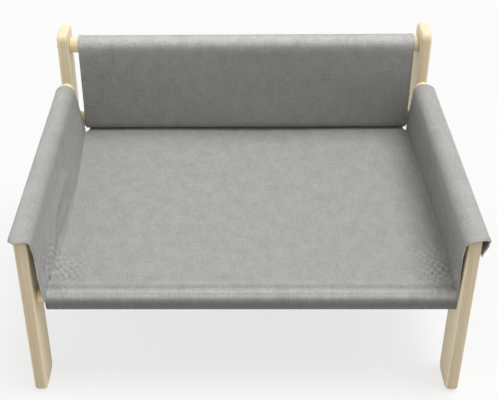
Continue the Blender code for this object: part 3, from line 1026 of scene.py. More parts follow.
def follow(path, distances, values=None):
    """Points of a broken line, or values that go with its points, at distances along the line."""
    steps = np.linalg.norm(np.diff(path, axis=0), axis=1)
    reached = np.concatenate(((0,), np.cumsum(steps)))
    columns = (path if values is None else values).T
    return np.column_stack([np.interp(distances, reached, column) for column in columns])


def path_length(path):
    """The lengths of a broken line's parts, added up."""
    return float(np.linalg.norm(np.diff(path, axis=0), axis=1).sum())


def rim_fall(distance, thickness):
    """1 inside the sheet, and a quarter circle down to 0 at its edge."""
    inward = np.clip(distance / thickness, 0, 1)
    return np.sqrt(np.clip(1 - (1 - inward) ** 2, 0, 1))


def hem_swell(distance):
    """How much thicker the cloth is near a folded hem, with a soft step at the hem's end."""
    return 1 + hem_extra * smooth((hem_width - distance) / hem_step + 0.5)


def sheet_half(distance, swell):
    """Half the cloth's thickness: its own, times the swell, with a round fall at a free edge."""
    half = half_cloth * rim_fall(distance, single_cloth) * swell
    half[distance < 1e-9] = 0
    return half


print("cloth", single_cloth, "thick, hems", round(single_cloth * (1 + hem_extra), 5))


# %% Cloth as a closed skin
cloth_sharp_angle = 60.0


def surface_normals(middle):
    """The cross product of the two directions along the grid, at each point."""
    down = np.gradient(middle, axis=0)
    side = np.gradient(middle, axis=1)
    normal = np.cross(down, side)
    return normal / np.maximum(np.linalg.norm(normal, axis=2, keepdims=True), 1e-12)


def make_cloth(name, middle, half, uv, shade, nodes, keep=None):
    """A closed sheet: two grids, half a thickness to each side of the middle, with one rim.

    Shade is painted light and shade: 1 for the cloth's own colour, more for a painted highlight
    where a bend catches the light, and less for painted shade in grooves. It goes into an attribute
    that the finish reads.
    """
    front = np.arange(half.size).reshape(half.shape)
    back = np.where(half > 0, front + half.size, front)
    cells = slice(None) if keep is None else keep.ravel()
    quads = np.vstack((grid_faces(front)[cells], grid_faces(back)[cells][:, ::-1]))
    used, quads = np.unique(quads, return_inverse=True)
    lift = surface_normals(middle) * half[..., None]
    points = np.vstack(((middle + lift).reshape(-1, 3), (middle - lift).reshape(-1, 3)))[used]
    piece = make_piece(
        name,
        points,
        quads.reshape(-1, 4),
        np.zeros((0, 3), int),
        np.tile(uv.reshape(-1, 2), (2, 1))[used],
        linen,
        "grey_linen_weave",
        cloth_sharp_angle,
    )
    flat_painted_light = np.tile(shade.ravel(), 2)[used]
    # The attribute holds the painted light and shade.
    layer = piece.data.attributes.new("shade", "FLOAT", "POINT")
    layer.data.foreach_set("value", flat_painted_light.astype(np.float32))
    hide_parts(*nodes)
    return piece


# %% [markdown]
# ## Stitches
# The rows of stitches that close the sleeves are real pieces of thread, not a pattern. Each
# stitch is a short capsule that comes up out of the cloth and goes down into it again. They lie
# a fixed pitch apart along one row or column of the panel, so they follow its folds.

# %% Stitches
stitch_length = 0.0030
stitch_pitch = 0.0040
stitch_radius = 0.00032
stitch_plumpness = 0.35
stitch_rise = 2.2
stitch_root = 1.4
thread_sharp_angle = 80.0
STITCH_SIDES = 6
STITCH_SHARES = np.array((0.0, 0.06, 0.25, 0.5, 0.75, 0.94, 1.0))
STITCH_ANGLES = np.linspace(0, 2 * math.pi, STITCH_SIDES, endpoint=False)


def stitch_lines(middle, half, picks):
    """Lines of points on both faces along a grid row or column, with the normals there."""
    normal = surface_normals(middle)
    lines = []
    for row, column in picks:
        line = (slice(None), column) if row is None else (row, slice(None))
        for face in (1, -1):
            out = face * normal[line]
            lines.append((middle[line] + out * half[line][:, None], out))
    return lines


def stitch_rings(path, out, place):
    """The rings of one stitch: thickest in the middle, with both ends in the cloth."""
    swell = np.sin(math.pi * STITCH_SHARES) ** stitch_plumpness
    swell[[0, -1]] = 0
    lift = follow(path, place + stitch_length / 2, out)[0]
    lift /= np.linalg.norm(lift)
    spine = follow(path, place + stitch_length * STITCH_SHARES)
    spine += lift * stitch_radius * (stitch_rise * swell[:, None] - stitch_root)
    across = np.cross(spine[-1] - spine[0], lift)
    across /= np.linalg.norm(across)
    ring = np.cos(STITCH_ANGLES)[:, None] * across + np.sin(STITCH_ANGLES)[:, None] * lift
    return spine[:, None] + stitch_radius * swell[:, None, None] * ring


def make_stitches(name, lines):
    """Stitches a pitch apart along all the lines, as one piece."""
    points, quads, triangles, uv = [], [], [], []
    start = 0
    for path, out in lines:
        stop = path_length(path) - 2 * stitch_pitch
        for place in np.arange(2 * stitch_pitch, stop, stitch_pitch):
            new_points, new_quads, new_triangles = rings_to_mesh(stitch_rings(path, out, place))
            count = len(new_points)
            points.append(new_points)
            quads.append(new_quads + start)
            triangles.append(new_triangles + start)
            uv.append(np.column_stack((np.linspace(0, 1, count), np.zeros(count))))
            start += count
    parts = [np.vstack(part) for part in (points, quads, triangles, uv)]
    return make_piece(name, *parts, thread, None, thread_sharp_angle)


print("stitches", stitch_length, "long, every", stitch_pitch)


# %% Area of a panel
def cloth_area(middle, keep):
    """The area of the middle surface: the cross product of each kept cell's two sides, added up."""
    down = middle[1:, :-1] - middle[:-1, :-1]
    side = middle[:-1, 1:] - middle[:-1, :-1]
    return float((np.linalg.norm(np.cross(down, side), axis=2) * keep).sum())


unit_square = np.array([[(x, y, 0.0) for x in (0.0, 1.0)] for y in (0.0, 1.0)])
print("area of a square with sides of 1:", cloth_area(unit_square, True))

# %% [markdown]
# ## Where the cloth runs
# The sleeves go round the rails, so their circles come from the rails' own boxes. The seat
# passes over the front rail and under the rear one. The seam between seat and arm is a soft
# valley on the left and a sharp one on the right, as the photograph shows.


# %% Measures taken from the frame
def centre_of(node):
    """The middle of a node's box."""
    low, high = (np.array(corner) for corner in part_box(node))
    return (low + high) / 2


def radius_of(node):
    """Half the height of a lying rail's box."""
    low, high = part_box(node)
    return (high[2] - low[2]) / 2


front_rail = centre_of("front_rail")
rear_rail = centre_of("rear_rail")
back_rail = centre_of("back_rail")
rail_radius = radius_of("front_rail")
seat_low, seat_high = (np.array(corner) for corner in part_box("seat_cover"))
back_low, back_high = (np.array(corner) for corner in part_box("backrest_cover"))
front_leg_low, front_leg_high = (np.array(corner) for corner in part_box("front_right_leg"))
board_middle = (front_leg_low[0] + front_leg_high[0]) / 2
seat_level = seat_high[2] - half_cloth
seam_left = seat_low[0]
seam_right = seat_high[0]
seam_tail = 0.006
seat_width = seam_right - seam_left
seat_middle = (seam_left + seam_right) / 2
print("seat level", round(seat_level, 4), "seams", round(seam_left, 4), round(seam_right, 4))

# %% [markdown]
# ## Folds
# Cloth that is pulled to a corner makes fine crossing folds, and a seam draws the cloth beside
# it into small puckers. Each family of folds is a wave across one direction that fades with the
# distance from its spot. The same numbers that raise a fold also paint light and shade on it: a
# painted highlight on a crest and painted shade in a hollow, where little light falls.


# %% Folds
# Painted highlight on fold crests and painted shade in their hollows, per metre of relief.
fold_light_and_shade = 75.0
fold_sway = 0.9
fold_sway_rate = 2.1
pucker_shares = (0.6, 0.4)
pucker_wander = 91.0
pucker_second_rate = 1.71
pucker_second_phase = 1.3


def bell(distance, reach):
    """1 at the middle and falling to both sides: e to the minus square of distance over reach."""
    return np.exp(-((distance / reach) ** 2))


def folds(x, y, spot, angle, wavelength, height, reach):
    """Height times the cosine of the distance across the folds, faded by a bell round the spot."""
    dx = x - spot[0]
    dy = y - spot[1]
    across = dx * math.cos(angle) + dy * math.sin(angle)
    along = dy * math.cos(angle) - dx * math.sin(angle)
    fade = np.exp(-((dx / reach[0]) ** 2) - (dy / reach[1]) ** 2)
    sway = fold_sway * np.sin(fold_sway_rate * along / wavelength)
    return height * fade * np.cos(2 * math.pi * across / wavelength + sway)


def crossed_folds(x, y, spot, families):
    """The sum of families of folds round one spot: (angle, wavelength, height, reach) each."""
    return sum(folds(x, y, spot, *family) for family in families)


def puckers(place, seam_distance, wavelength, height, reach):
    """Small uneven waves along a seam: the sum of two cosines, faded away from the seam."""
    phase = 2 * math.pi * place / wavelength
    first = np.cos(phase + np.sin(place * pucker_wander))
    second = np.cos(pucker_second_rate * phase + pucker_second_phase)
    wave = pucker_shares[0] * first + pucker_shares[1] * second
    return height * wave * bell(seam_distance, reach)


print("fold crest", folds(0.0, 0.0, (0.0, 0.0), 0.0, 0.01, 0.001, (0.02, 0.02)))


# %% [markdown]
# ## Seat
# The seat is one width of cloth. It lies under the rear rail's sleeve, hangs a little in the
# middle, and goes round the front rail, where its end is sewn to its own underside. Its side
# edges turn up a little to meet the arms and then down into the seam.

# %% Seat section
sleeve_outer_radius = 0.014
roll_radius = sleeve_outer_radius - half_cloth
roll_drop = 0.0068
roll_top_centre = np.array((front_rail[1], seat_level - roll_radius))
roll_low_centre = roll_top_centre - (0, roll_drop)
seat_rear = seat_high[1]
under_gap = 0.0002
under_turn = 0.0022
seat_allowance = 0.012
flat_length = seat_rear - front_rail[1]
roll_turn = roll_radius * math.pi / 2


def seat_section():
    """From the rear hem forward, round the front rail, and back under the seat, in Y and Z."""
    behind = roll_low_centre[0] + roll_radius + under_turn
    under = seat_level - single_cloth - under_gap
    parts = (
        ((seat_rear, seat_level),),
        arc(roll_top_centre, roll_radius, math.pi / 2, math.pi, 40),
        arc(roll_low_centre, roll_radius, math.pi, 2 * math.pi, 60),
        arc((behind, under - under_turn), under_turn, math.pi, math.pi / 2, 14),
        ((behind + seat_allowance, under),),
    )
    return np.vstack(parts)


print("seat section", round(path_length(seat_section()), 4), "long")


# %% [markdown]
# ## Seam between seat and arm
# Both panels turn down into the seam, and their allowances lie face to face as a fin below it.
# The cover pulls unevenly on the frame, so the seam is a wide, soft valley on the left that
# bows inwards, and a sharp line on the right that bows outwards. On the front roll the seam
# fades, because there both panels lie flat on the rail. Values in pairs are for the left side
# (True) and the right side (False).

# %% Seam between seat and arm
fin_bend = 0.0009
arm_fin = 0.0015
roll_fins = {True: 0.0020, False: 0.0035}
roll_out = {True: 0.0, False: 0.0036}
seam_start = -0.190
seam_full = -0.179
seam_stop = 0.1735
seam_stop_reach = 0.003
roll_out_reach = 0.010
rear_fillet = 0.004
front_fillet_extra = 0.020
right_fillet = 0.0018
bow_end = 0.186
bow_length = 0.25
bow_fade_start = -0.215
bow_fade_length = 0.075
bow_in = 0.0105
bow_out = 0.0030
LIFT_POINTS = 8
BEND_POINTS = 5
FIN_SHARES = np.concatenate((rim_places / seam_tail, (0.45, 0.72, 1.0)))


def seam_share(y):
    """1 along the flat seat, 0 on the front roll and behind the arms."""
    begun = smooth((y - seam_start) / (seam_full - seam_start))
    return begun * smooth((seam_stop - y) / seam_stop_reach + 1)


def fillet_radius(y, left):
    """How softly seat and arm meet: wider to the front on the left, sharp on the right."""
    forward = smooth((seat_rear - y) / flat_length)
    if left:
        return rear_fillet + front_fillet_extra * forward**1.5
    return np.full_like(forward, right_fillet)


def seam_place(y, left):
    """How far out the seam is: the pull of the cover bows it in on the left, out on the right."""
    inward = np.clip((bow_end - y) / bow_length, 0, 1)
    bow = np.sin(np.pi / 2 * inward) * smooth((y - bow_fade_start) / bow_fade_length)
    front = roll_out[left] * smooth((seam_start - y) / roll_out_reach)
    if left:
        return abs(seam_left) - bow_in * bow + front
    return seam_right + bow_out * bow + front


def seat_edge(y, left):
    """One side edge, from the flat seat outwards: fillet, sharp bend and fin.

    Angles are half a right angle where the seam is full. Returns the distance out from the seam,
    the height, and the distance to the fin's tip, with a row for each y.
    """
    share = seam_share(y)[:, None]
    radius = fillet_radius(y, left)[:, None]
    half_turn = share * math.pi / 4
    lift = np.linspace(0, 1, LIFT_POINTS)[None] * half_turn
    out_lift = radius * (np.sin(lift) - np.sin(half_turn))
    up_lift = radius * (1 - np.cos(lift))
    bend = np.linspace(1, -1, BEND_POINTS)[None, 1:] * half_turn
    out_bend = fin_bend * (np.sin(half_turn) - np.sin(bend))
    up_bend = up_lift[:, -1:] + fin_bend * (np.cos(bend) - np.cos(half_turn))
    fin = roll_fins[left] + share * (seam_tail - roll_fins[left])
    left_over = fin * FIN_SHARES[::-1][None, 1:]
    along_fin = fin - left_over
    out_fin = out_bend[:, -1:] + along_fin * np.cos(half_turn)
    up_fin = up_bend[:, -1:] - along_fin * np.sin(half_turn)
    inside = np.full((len(y), LIFT_POINTS + BEND_POINTS - 1), 1.0)
    return (
        np.hstack((out_lift, out_bend, out_fin)),
        np.hstack((up_lift, up_bend, up_fin)),
        np.hstack((inside, left_over)),
    )


sample_places = np.array((-0.18, 0.0, 0.17))
for left in (True, False):
    print("seam at the front, middle and rear", seam_place(sample_places, left).round(4))

# %% [markdown]
# ## The seat's form and painted shade
# On a real seat like this the cloth sinks in the middle and dips behind the front rail, and the
# rail's sleeve is closed by a stitched groove, in front of which the doubled cloth stands a
# little higher. The corners show crossing folds. The relief is added along the section's normal,
# and it stops where the cloth would touch the round rail below it. Painted light follows the roll:
# a painted highlight on its top, painted shade in the groove and where it turns under.

# %% Seat form
seat_sag = 0.0045
groove_place = -0.1990
groove_depth = 0.0008
groove_reach = 0.0016
hem_rise = 0.0009
hem_rise_reach = 0.0014
dip_depth = 0.0018
dip_place = -0.1815
dip_reach = 0.009
rail_clearance = 0.0003
seat_wave_height = 0.0006
seat_wave_rates = (19.0, 27.0)
roll_bulge = 0.0007
roll_bulge_rates = (33.0, 71.0)
roll_bulge_place = -0.208
roll_bulge_reach = 0.010
seat_pucker = (0.0098, 0.00042, 0.009)
corner_spots = {True: (0.014, -0.166), False: (0.019, -0.150)}
corner_heights = {True: 0.00125, False: 0.00115}
corner_reaches = {True: (0.025, 0.039), False: (0.024, 0.056)}
corner_waves = ((math.radians(38), 0.0076), (math.radians(-42), 0.0088))


def seat_folds(x, y):
    """Crossing folds at both front corners, and puckers along the stitched groove."""
    total = puckers(x, y - groove_place, *seat_pucker)
    for left, edge, sign in ((True, seam_left, 1), (False, seam_right, -1)):
        inwards, place = corner_spots[left]
        spot = (edge + sign * inwards, place)
        size = (corner_heights[left], corner_reaches[left])
        for angle, wavelength in corner_waves:
            total += folds(x, y, spot, sign * angle, wavelength, *size)
    return total


def seat_waves(x, y, across):
    """Long shallow waves over the seat, and an uneven bulge along the roll."""
    slow = np.sin(x * seat_wave_rates[0] + 1.0) * np.sin(y * seat_wave_rates[1]) * across**0.5
    uneven = np.sin(x * roll_bulge_rates[0] + 0.7) * np.sin(x * roll_bulge_rates[1])
    bulge = uneven * bell(y - roll_bulge_place, roll_bulge_reach)
    return seat_wave_height * slow + roll_bulge * bulge


def gap_to_front_rail(y):
    """How far the cloth can sink at y before it touches the round rail under it."""
    beside = np.clip(np.abs(y - front_rail[1]) / rail_radius, 0, 1)
    return rail_clearance + rail_radius * (1 - np.sqrt(1 - beside**2))


def seat_relief(x, y):
    """Folds and the hem's rise, minus the sag, the dip behind the roll and the groove."""
    across = np.clip(1 - ((x - seat_middle) / (seat_width / 2)) ** 2, 0, 1)
    length = np.clip((y - dip_place) / (seat_rear - dip_place), 0, 1)
    hang = seat_sag * across * np.sin(np.pi * length) ** 0.8
    dip = dip_depth * bell(y - dip_place, dip_reach) * across**0.3
    groove = groove_depth * bell(y - groove_place, groove_reach)
    hem = hem_rise * smooth((groove_place - y) / hem_rise_reach + 0.5)
    total = hem - hang - dip - groove + seat_folds(x, y) + seat_waves(x, y, across)
    return np.maximum(total, -gap_to_front_rail(y))


deepest = -seat_relief(np.full(99, seat_middle), np.linspace(dip_place, seat_rear, 99)).min()
print("the seat hangs by at most", round(deepest, 4))

# %% Seat rows and columns
seat_step = 0.008
seat_row_spots = ((flat_length - 0.030, 0.060, 0.0011), (flat_length + 0.035, 0.060, 0.0013))
column_step = 0.0055
column_spot = 0.016
column_spots = tuple((place, 0.055, 0.0011) for place in (column_spot, seat_width - column_spot))
column_shares = stations(seat_width, column_step, column_spots)[1:-1] / seat_width
corner_opening = 0.0075
corner_opening_start = 0.1746
corner_opening_reach = 0.002
slope_step = 1e-4


def seat_side(y, on_top, left):
    """One edge of the seat in every row: x, the rise over the seat, and the distance to the tip."""
    seam_y = np.where(on_top, y, front_rail[1] - roll_radius)
    opened = corner_opening * smooth((y - corner_opening_start) / corner_opening_reach) * on_top
    out, up, tip = seat_edge(seam_y, left)
    x = (seam_place(seam_y, left) - opened)[:, None] + out
    return (-x if left else x), up, tip


def seat_grid(y, on_top):
    """The seat from its left tip to its right tip: x, the rise, and the distance to the tip."""
    left_x, left_up, left_tip = (part[:, ::-1] for part in seat_side(y, on_top, True))
    right_x, right_up, right_tip = seat_side(y, on_top, False)
    start, stop = left_x[:, -1:], right_x[:, :1]
    flat_x = start + column_shares * (stop - start)
    flat = np.zeros_like(flat_x)
    x = np.hstack((left_x, flat_x, right_x))
    return x, np.hstack((left_up, flat, right_up)), np.hstack((left_tip, flat + 1.0, right_tip))


def section_normals(path, rows):
    """At each row the direction at right angles to the section, from a short step each way."""
    ahead = follow(path, np.minimum(rows + slope_step, path_length(path)))
    direction = ahead - follow(path, np.maximum(rows - slope_step, 0))
    direction /= np.linalg.norm(direction, axis=1, keepdims=True)
    return np.column_stack((direction[:, 1], -direction[:, 0]))


print("columns over the flat seat", len(column_shares))

# %% Seat cloth
relief_end = flat_length + roll_turn * 0.7
relief_fade = 0.006
under_relief_start = 0.012
under_relief_fade = 0.010
# Painted light on the seat beside the right arm, where the arm's shadow falls.
right_seat_painted_light = 0.16
right_seat_painted_reach = 0.035
roll_front = front_rail[1] - roll_radius * 0.98
# Painted light along the roll: a highlight on top, painted shade in the groove and underneath.
roll_places = (-0.010, -0.004, 0.0, 0.0030, 0.0055, 0.008, 0.0105)
roll_places += (0.013, 0.015, 0.017, 0.019, 0.0215, 0.026, 0.045)
roll_painted_light = (1.0, 1.09, 1.0, 0.82, 0.90, 1.18, 1.38, 1.42, 1.34, 1.14, 0.86, 0.60, 0.43, 0.48)
stitch_beside_groove = 0.0030


def relief_share(rows, length):
    """1 on the seat, minus 1 on the allowance under it, whose normal points down, else 0."""
    above = smooth((relief_end - rows) / relief_fade)
    under_start = length - seat_allowance - under_relief_start
    below = smooth((rows - under_start) / under_relief_fade)
    return (np.maximum(above, below) * np.sign(above - below))[:, None]


def seat_light_and_shade(rows, x, y):
    """Painted light and shade: the roll's, plus the folds', plus painted light beside the right arm.
    """
    shade = np.interp(rows - flat_length, roll_places, roll_painted_light)[:, None]
    shade = shade + fold_light_and_shade * seat_folds(x, y) * (y > roll_front)
    return shade + right_seat_painted_light * bell(x - seam_right, right_seat_painted_reach) * (rows < flat_length)[:, None]


def make_seat():
    """Rows follow the section, columns go across it, and the relief is added along the normal."""
    path = seat_section()
    length = path_length(path)
    rows = stations(length, seat_step, seat_row_spots)
    section, normal = follow(path, rows), section_normals(path, rows)
    x, up, tip = seat_grid(section[:, 0], rows < flat_length + roll_turn)
    y = np.broadcast_to(section[:, :1], x.shape)
    relief = seat_relief(np.clip(x, seam_left, seam_right), y)
    up = up + relief * relief_share(rows, length)
    middle = np.stack((x, y + up * normal[:, :1], section[:, 1:] + up * normal[:, 1:]), -1)
    distance = np.minimum(tip, np.minimum(rows, length - rows)[:, None])
    half = sheet_half(distance, hem_swell(rows)[:, None])
    uv = np.stack((x, np.broadcast_to(rows[:, None], x.shape)), -1)
    piece = make_cloth("seat_cloth", middle, half, uv, seat_light_and_shade(rows, x, y), ("seat_cover",))
    stitch_place = seat_rear - groove_place + stitch_beside_groove
    stitch_row = int(np.argmin(np.abs(rows - stitch_place)))
    upper_line = stitch_lines(middle, half, ((stitch_row, None),))[:1]
    sewn = make_stitches("seat_stitches", upper_line)
    return piece, sewn, (seat_width + 2 * seam_tail, length)


seat_cloth, seat_stitches, seat_flat = make_seat()
print("seat", len(seat_cloth.data.vertices), "points, cut", [round(size, 4) for size in seat_flat])

# %% [markdown]
# ## Arms
# An arm is one panel. It starts in the seam beside the seat, rises, goes over the arm rail and
# comes back to its own back, where it is sewn to make the sleeve. In front, where the board
# stands, the sleeve is cut open and a short flap covers the board's top. The front hem isn't
# straight: it curves with the height on the panel and with the angle round the rail, and over
# the rail it droops a little, more on the left arm than on the right one.

# %% Arm measures
arm_centre = np.array((board_middle, 0.2281))
arm_radius = sleeve_outer_radius - half_cloth
sleeve_seam_radius = 0.0065 - half_cloth
sleeve_drop = 0.017
sleeve_tail = 0.008
sleeve_rear = 0.1554
sleeve_front = -0.2214
sleeve_length = sleeve_rear - sleeve_front
sleeve_seam_height = arm_centre[1] - sleeve_drop
notch_place = -0.164
notch_length = notch_place - sleeve_front
front_edge_heights = (0.1534, 0.1649, 0.1937, 0.2134, 0.2281)
front_edge_places = {
    True: (-0.2060, -0.2110, -0.2160, -0.2125, -0.2170),
    False: (-0.2060, -0.2070, -0.2100, -0.2140, -0.2200),
}
hem_angles = np.radians((-60, 0, 45, 80, 110, 140, 180))
hem_places = {
    True: (-0.2092, -0.2040, -0.2150, -0.2225, -0.2220, -0.2200, -0.2170),
    False: (-0.2165, -0.2080, -0.2170, -0.2226, -0.2250, -0.2245, -0.2200),
}
hem_droops = {
    True: (0.0, 0.0006, 0.0034, 0.0042, 0.0036, 0.0010, 0.0),
    False: (0.0, 0.0, 0.0004, 0.0008, 0.0006, 0.0, 0.0),
}
droop_reach = 0.012
sleeve_ease = {True: 0.0004, False: 0.0036}
rear_edge_heights = (0.1534, 0.1787, 0.2066, 0.2281)
rear_edge_places = (0.1813, 0.1813, 0.1661, 0.1554)
flap_ends = {True: 0.2245, False: 0.2125}
flap_turns = {True: math.radians(-8), False: math.radians(-25)}
flap_reach = 0.012
flap_gap = 0.0003
flap_out = front_leg_high[0] + half_cloth + flap_gap
print("arm sleeve", round(sleeve_length, 4), "long, open over", round(notch_length, 4), "in front")

# %% Lines and circles in rows
CREASE_SHARES = (0.25, 0.5, 0.75)


def tangent_angle(first, first_radius, second, second_radius):
    """The angle at which a line touches both circles on their outer side."""
    gap = np.asarray(second) - np.asarray(first)
    distance = np.hypot(gap[..., 0], gap[..., 1])
    turn = np.arccos((first_radius - second_radius) / distance)
    return np.arctan2(gap[..., 1], gap[..., 0]) + turn


def circle(centre, radius, angle):
    """Points round one centre per row, at one list of angles per row."""
    reach = np.reshape(radius, (-1, 1, 1))
    return centre[:, None] + reach * np.stack((np.cos(angle), np.sin(angle)), -1)


def between(start, end, shares):
    """Points on the straight lines from start to end."""
    return start[:, None] * (1 - shares[:, None]) + end[:, None] * shares[:, None]


def soft_corner(start, end, corner):
    """A few points of the parabola that leaves and arrives in the direction of the corner."""
    part = np.array(CREASE_SHARES)[:, None]
    first = start[:, None] * (1 - part) ** 2
    return first + 2 * corner[:, None] * part * (1 - part) + end[:, None] * part**2


two_circles = tangent_angle((0.0, 0.0), arm_radius, (0.0, -sleeve_drop), sleeve_seam_radius)
print("a line touches rail and seam circle at", round(math.degrees(two_circles), 1), "degrees")

# %% Foot of the arm
smallest_fillet = 0.0012
root_depth = 0.0012
face_gap = 0.0001
crease_width = 0.0014
crease_pull = 0.0003
steepest_start = math.radians(86)
fillet_end = math.radians(89)
FILLET_POINTS = 8


def roll_height(y):
    """The height of the seat's middle surface along its side edge."""
    forward = np.clip(front_rail[1] - y, 0, roll_radius * 0.999)
    return roll_top_centre[1] + np.sqrt(roll_radius**2 - forward**2)


def arm_foot(y, left):
    """The fin under the seam, the crease out of it, and the fillet that ends nearly upright.

    Points are the distance out from the middle and the height, with a row for each y.
    """
    share = seam_share(y)
    radius = np.maximum(fillet_radius(y, left) * share, smallest_fillet)
    half_turn = math.pi / 4 * share
    sine, cosine = np.sin(half_turn), np.cos(half_turn)
    seam = np.column_stack((seam_place(y, left), roll_height(y) + radius * (1 - cosine)))
    way, side = np.column_stack((cosine, -sine)), np.column_stack((sine, cosine))
    root = seam + side * (single_cloth + face_gap) + way * root_depth
    tip = root + way * (arm_fin + share * (seam_tail - arm_fin))[:, None]
    fin = tip[:, None] + FIN_SHARES[:, None] * (root - tip)[:, None]
    start = np.minimum(half_turn + crease_width / radius, steepest_start)[:, None]
    turns = start + np.linspace(0, 1, FILLET_POINTS) * (fillet_end - start)
    fillet_centre = seam + np.column_stack((-sine, cosine)) * radius[:, None]
    fillet = circle(fillet_centre, radius, turns - math.pi / 2)
    corner = (root + fillet[:, 0]) / 2 - side * crease_pull
    crease = soft_corner(root, fillet[:, 0], corner)
    return np.concatenate((fin, crease, fillet), axis=1)


foot_points = len(FIN_SHARES) + len(CREASE_SHARES) + FILLET_POINTS
print("foot of the arm", arm_foot(np.array((0.0,)), True).shape[1], "points of", foot_points)

# %% Arm section
PANEL_POINTS = 36
OVER_POINTS = 26
LOOP_POINTS = 16
PANEL_SHARES = np.linspace(0, 1, PANEL_POINTS + 1)[1:]
OVER_SHARES = np.linspace(0, 1, OVER_POINTS + 1)[1:]
LOOP_SHARES = np.linspace(0, 1, LOOP_POINTS + 1)[1:]
SLANT_SHARES = np.concatenate(((0.2, 0.4, 0.6), 1 - 0.2 * (1 - np.cos(RIM_TURNS))[::-1]))
TAIL_SHARES = np.concatenate(((0.3, 0.6), 1 - rim_places[::-1] / sleeve_tail))


def loop_centre(foot, top):
    """The middle of the narrow loop behind the panel, at the height of the sleeve's seam."""
    share = (sleeve_seam_height - foot[:, 1]) / (top[:, 1] - foot[:, 1])
    panel = foot[:, 0] * (1 - share) + top[:, 0] * share
    out = panel + (single_cloth + face_gap) + sleeve_seam_radius
    return np.column_stack((out, np.full_like(out, sleeve_seam_height)))


def arm_sleeve(foot, top_y, left):
    """From the foot up: the panel, the turn over the rail, the slant, the loop and the tail.

    In front of the notch the cloth ends in a flap over the board, so the slant ends there.
    """
    top = np.tile(arm_centre - (arm_radius, 0), (len(foot), 1))
    centre = np.tile(arm_centre, (len(foot), 1))
    loop = loop_centre(foot, top)
    touch = tangent_angle(centre, arm_radius, loop, sleeve_seam_radius)
    flap = smooth((notch_place + flap_reach - top_y) / flap_reach)
    end_angle = touch * (1 - flap) + flap_turns[left] * flap
    over_turn = math.pi + OVER_SHARES * (end_angle - math.pi)[:, None]
    over = circle(centre, arm_radius, over_turn)
    over[..., 0] += sleeve_ease[left] * np.clip(np.cos(over_turn), 0, 1)
    loop_start = loop + sleeve_seam_radius * np.column_stack((np.cos(touch), np.sin(touch)))
    flap_end = np.array((flap_out, flap_ends[left]))
    slant_end = loop_start * (1 - flap)[:, None] + flap_end * flap[:, None]
    loop_turn = touch[:, None] + LOOP_SHARES * (-math.pi - touch)[:, None]
    ring = circle(loop, sleeve_seam_radius, loop_turn)
    tail = between(ring[:, -1], ring[:, -1] + (0, sleeve_tail), TAIL_SHARES)
    panel = between(foot, top, PANEL_SHARES)
    slant = between(over[:, -1], slant_end, SLANT_SHARES)
    return np.concatenate((panel, over, slant, ring, tail), axis=1)


def arm_section(y, top_y, left):
    """The whole section: y is where each row meets the seat, top_y where it crosses the rail."""
    foot = arm_foot(y, left)
    return np.concatenate((foot, arm_sleeve(foot[:, -1], top_y, left)), axis=1)


print("arm section", arm_section(np.zeros(1), np.zeros(1), True).shape[1], "points")

# %% [markdown]
# ## The arms' folds and painted shade
# The panel has slow waves, small puckers along the sleeve's seam, and crossing folds where the
# cover is pulled into its lower front corner. The left arm has a long soft ridge that climbs
# rearwards. Over the rail a painted highlight makes the cloth pale. The two panels differ a little
# in tone by a painted level: painted light on the left one, painted shade on the right one.

# %% Arm relief
panel_reach = 0.095
panel_low = 0.160
panel_low_reach = 0.010
panel_top_reach = 0.012
arm_wave_height = 0.0006
arm_wave_rates = (37.0, 46.0)
arm_pucker = (0.0105, 0.00035, 0.006)
ridge_places = (-0.18, -0.14, -0.10, -0.047, 0.02)
ridge_heights = (0.165, 0.178, 0.198, 0.197, 0.190)
ridge_rise = {True: 0.0017, False: 0.0004}
ridge_width = 0.0085
ridge_start = -0.185
ridge_start_reach = 0.030
ridge_stop = 0.02
ridge_stop_reach = 0.06
arm_fold_spot = (-0.172, 0.170)
arm_fold_families = (
    (math.radians(40), 0.0076, 0.0011, (0.032, 0.026)),
    (math.radians(-46), 0.0088, 0.0010, (0.030, 0.024)),
)


def ridge(y, height, left):
    """A long soft ridge towards the seat, whose height over the floor changes along the arm."""
    middle = np.interp(y, ridge_places, ridge_heights)
    begun = smooth((y - ridge_start) / ridge_start_reach)
    fade = begun * smooth((ridge_stop - y) / ridge_stop_reach)
    return -ridge_rise[left] * fade * bell(height - middle, ridge_width)


def arm_relief(height, y, along, left):
    """How far the panel stands out: waves, puckers and ridge, then the corner's folds."""
    above_foot = np.clip((height - panel_low) / panel_low_reach, 0, 1)
    rise = above_foot * np.clip((arm_centre[1] - height) / panel_top_reach, 0, 1)
    slow = np.sin(y * arm_wave_rates[0] + 1.1) * np.sin((height - panel_low) * arm_wave_rates[1])
    seam = puckers(y, height - sleeve_seam_height, *arm_pucker)
    relief = rise * (arm_wave_height * slow + seam + ridge(y, height, left))
    corner = crossed_folds(y, height, arm_fold_spot, arm_fold_families)
    return (relief + corner) * (along < panel_reach)


print("left ridge where it is strongest", round(float(ridge(-0.10, 0.198, True)), 5))

# %% Edges of the arm
front_row_step = 0.003
arm_row_step = 0.005
hem_row_spot = (0.03, 0.0015)
notch_row_spot = (0.02, 0.0015)
rear_row_spot = (0.02, 0.002)
# Painted highlight on the cloth over the arm rail, by its angle round the rail.
arm_painted_highlight = 0.18
highlight_turn = math.radians(85)
highlight_width = math.radians(60)
panel_end = foot_points + PANEL_POINTS


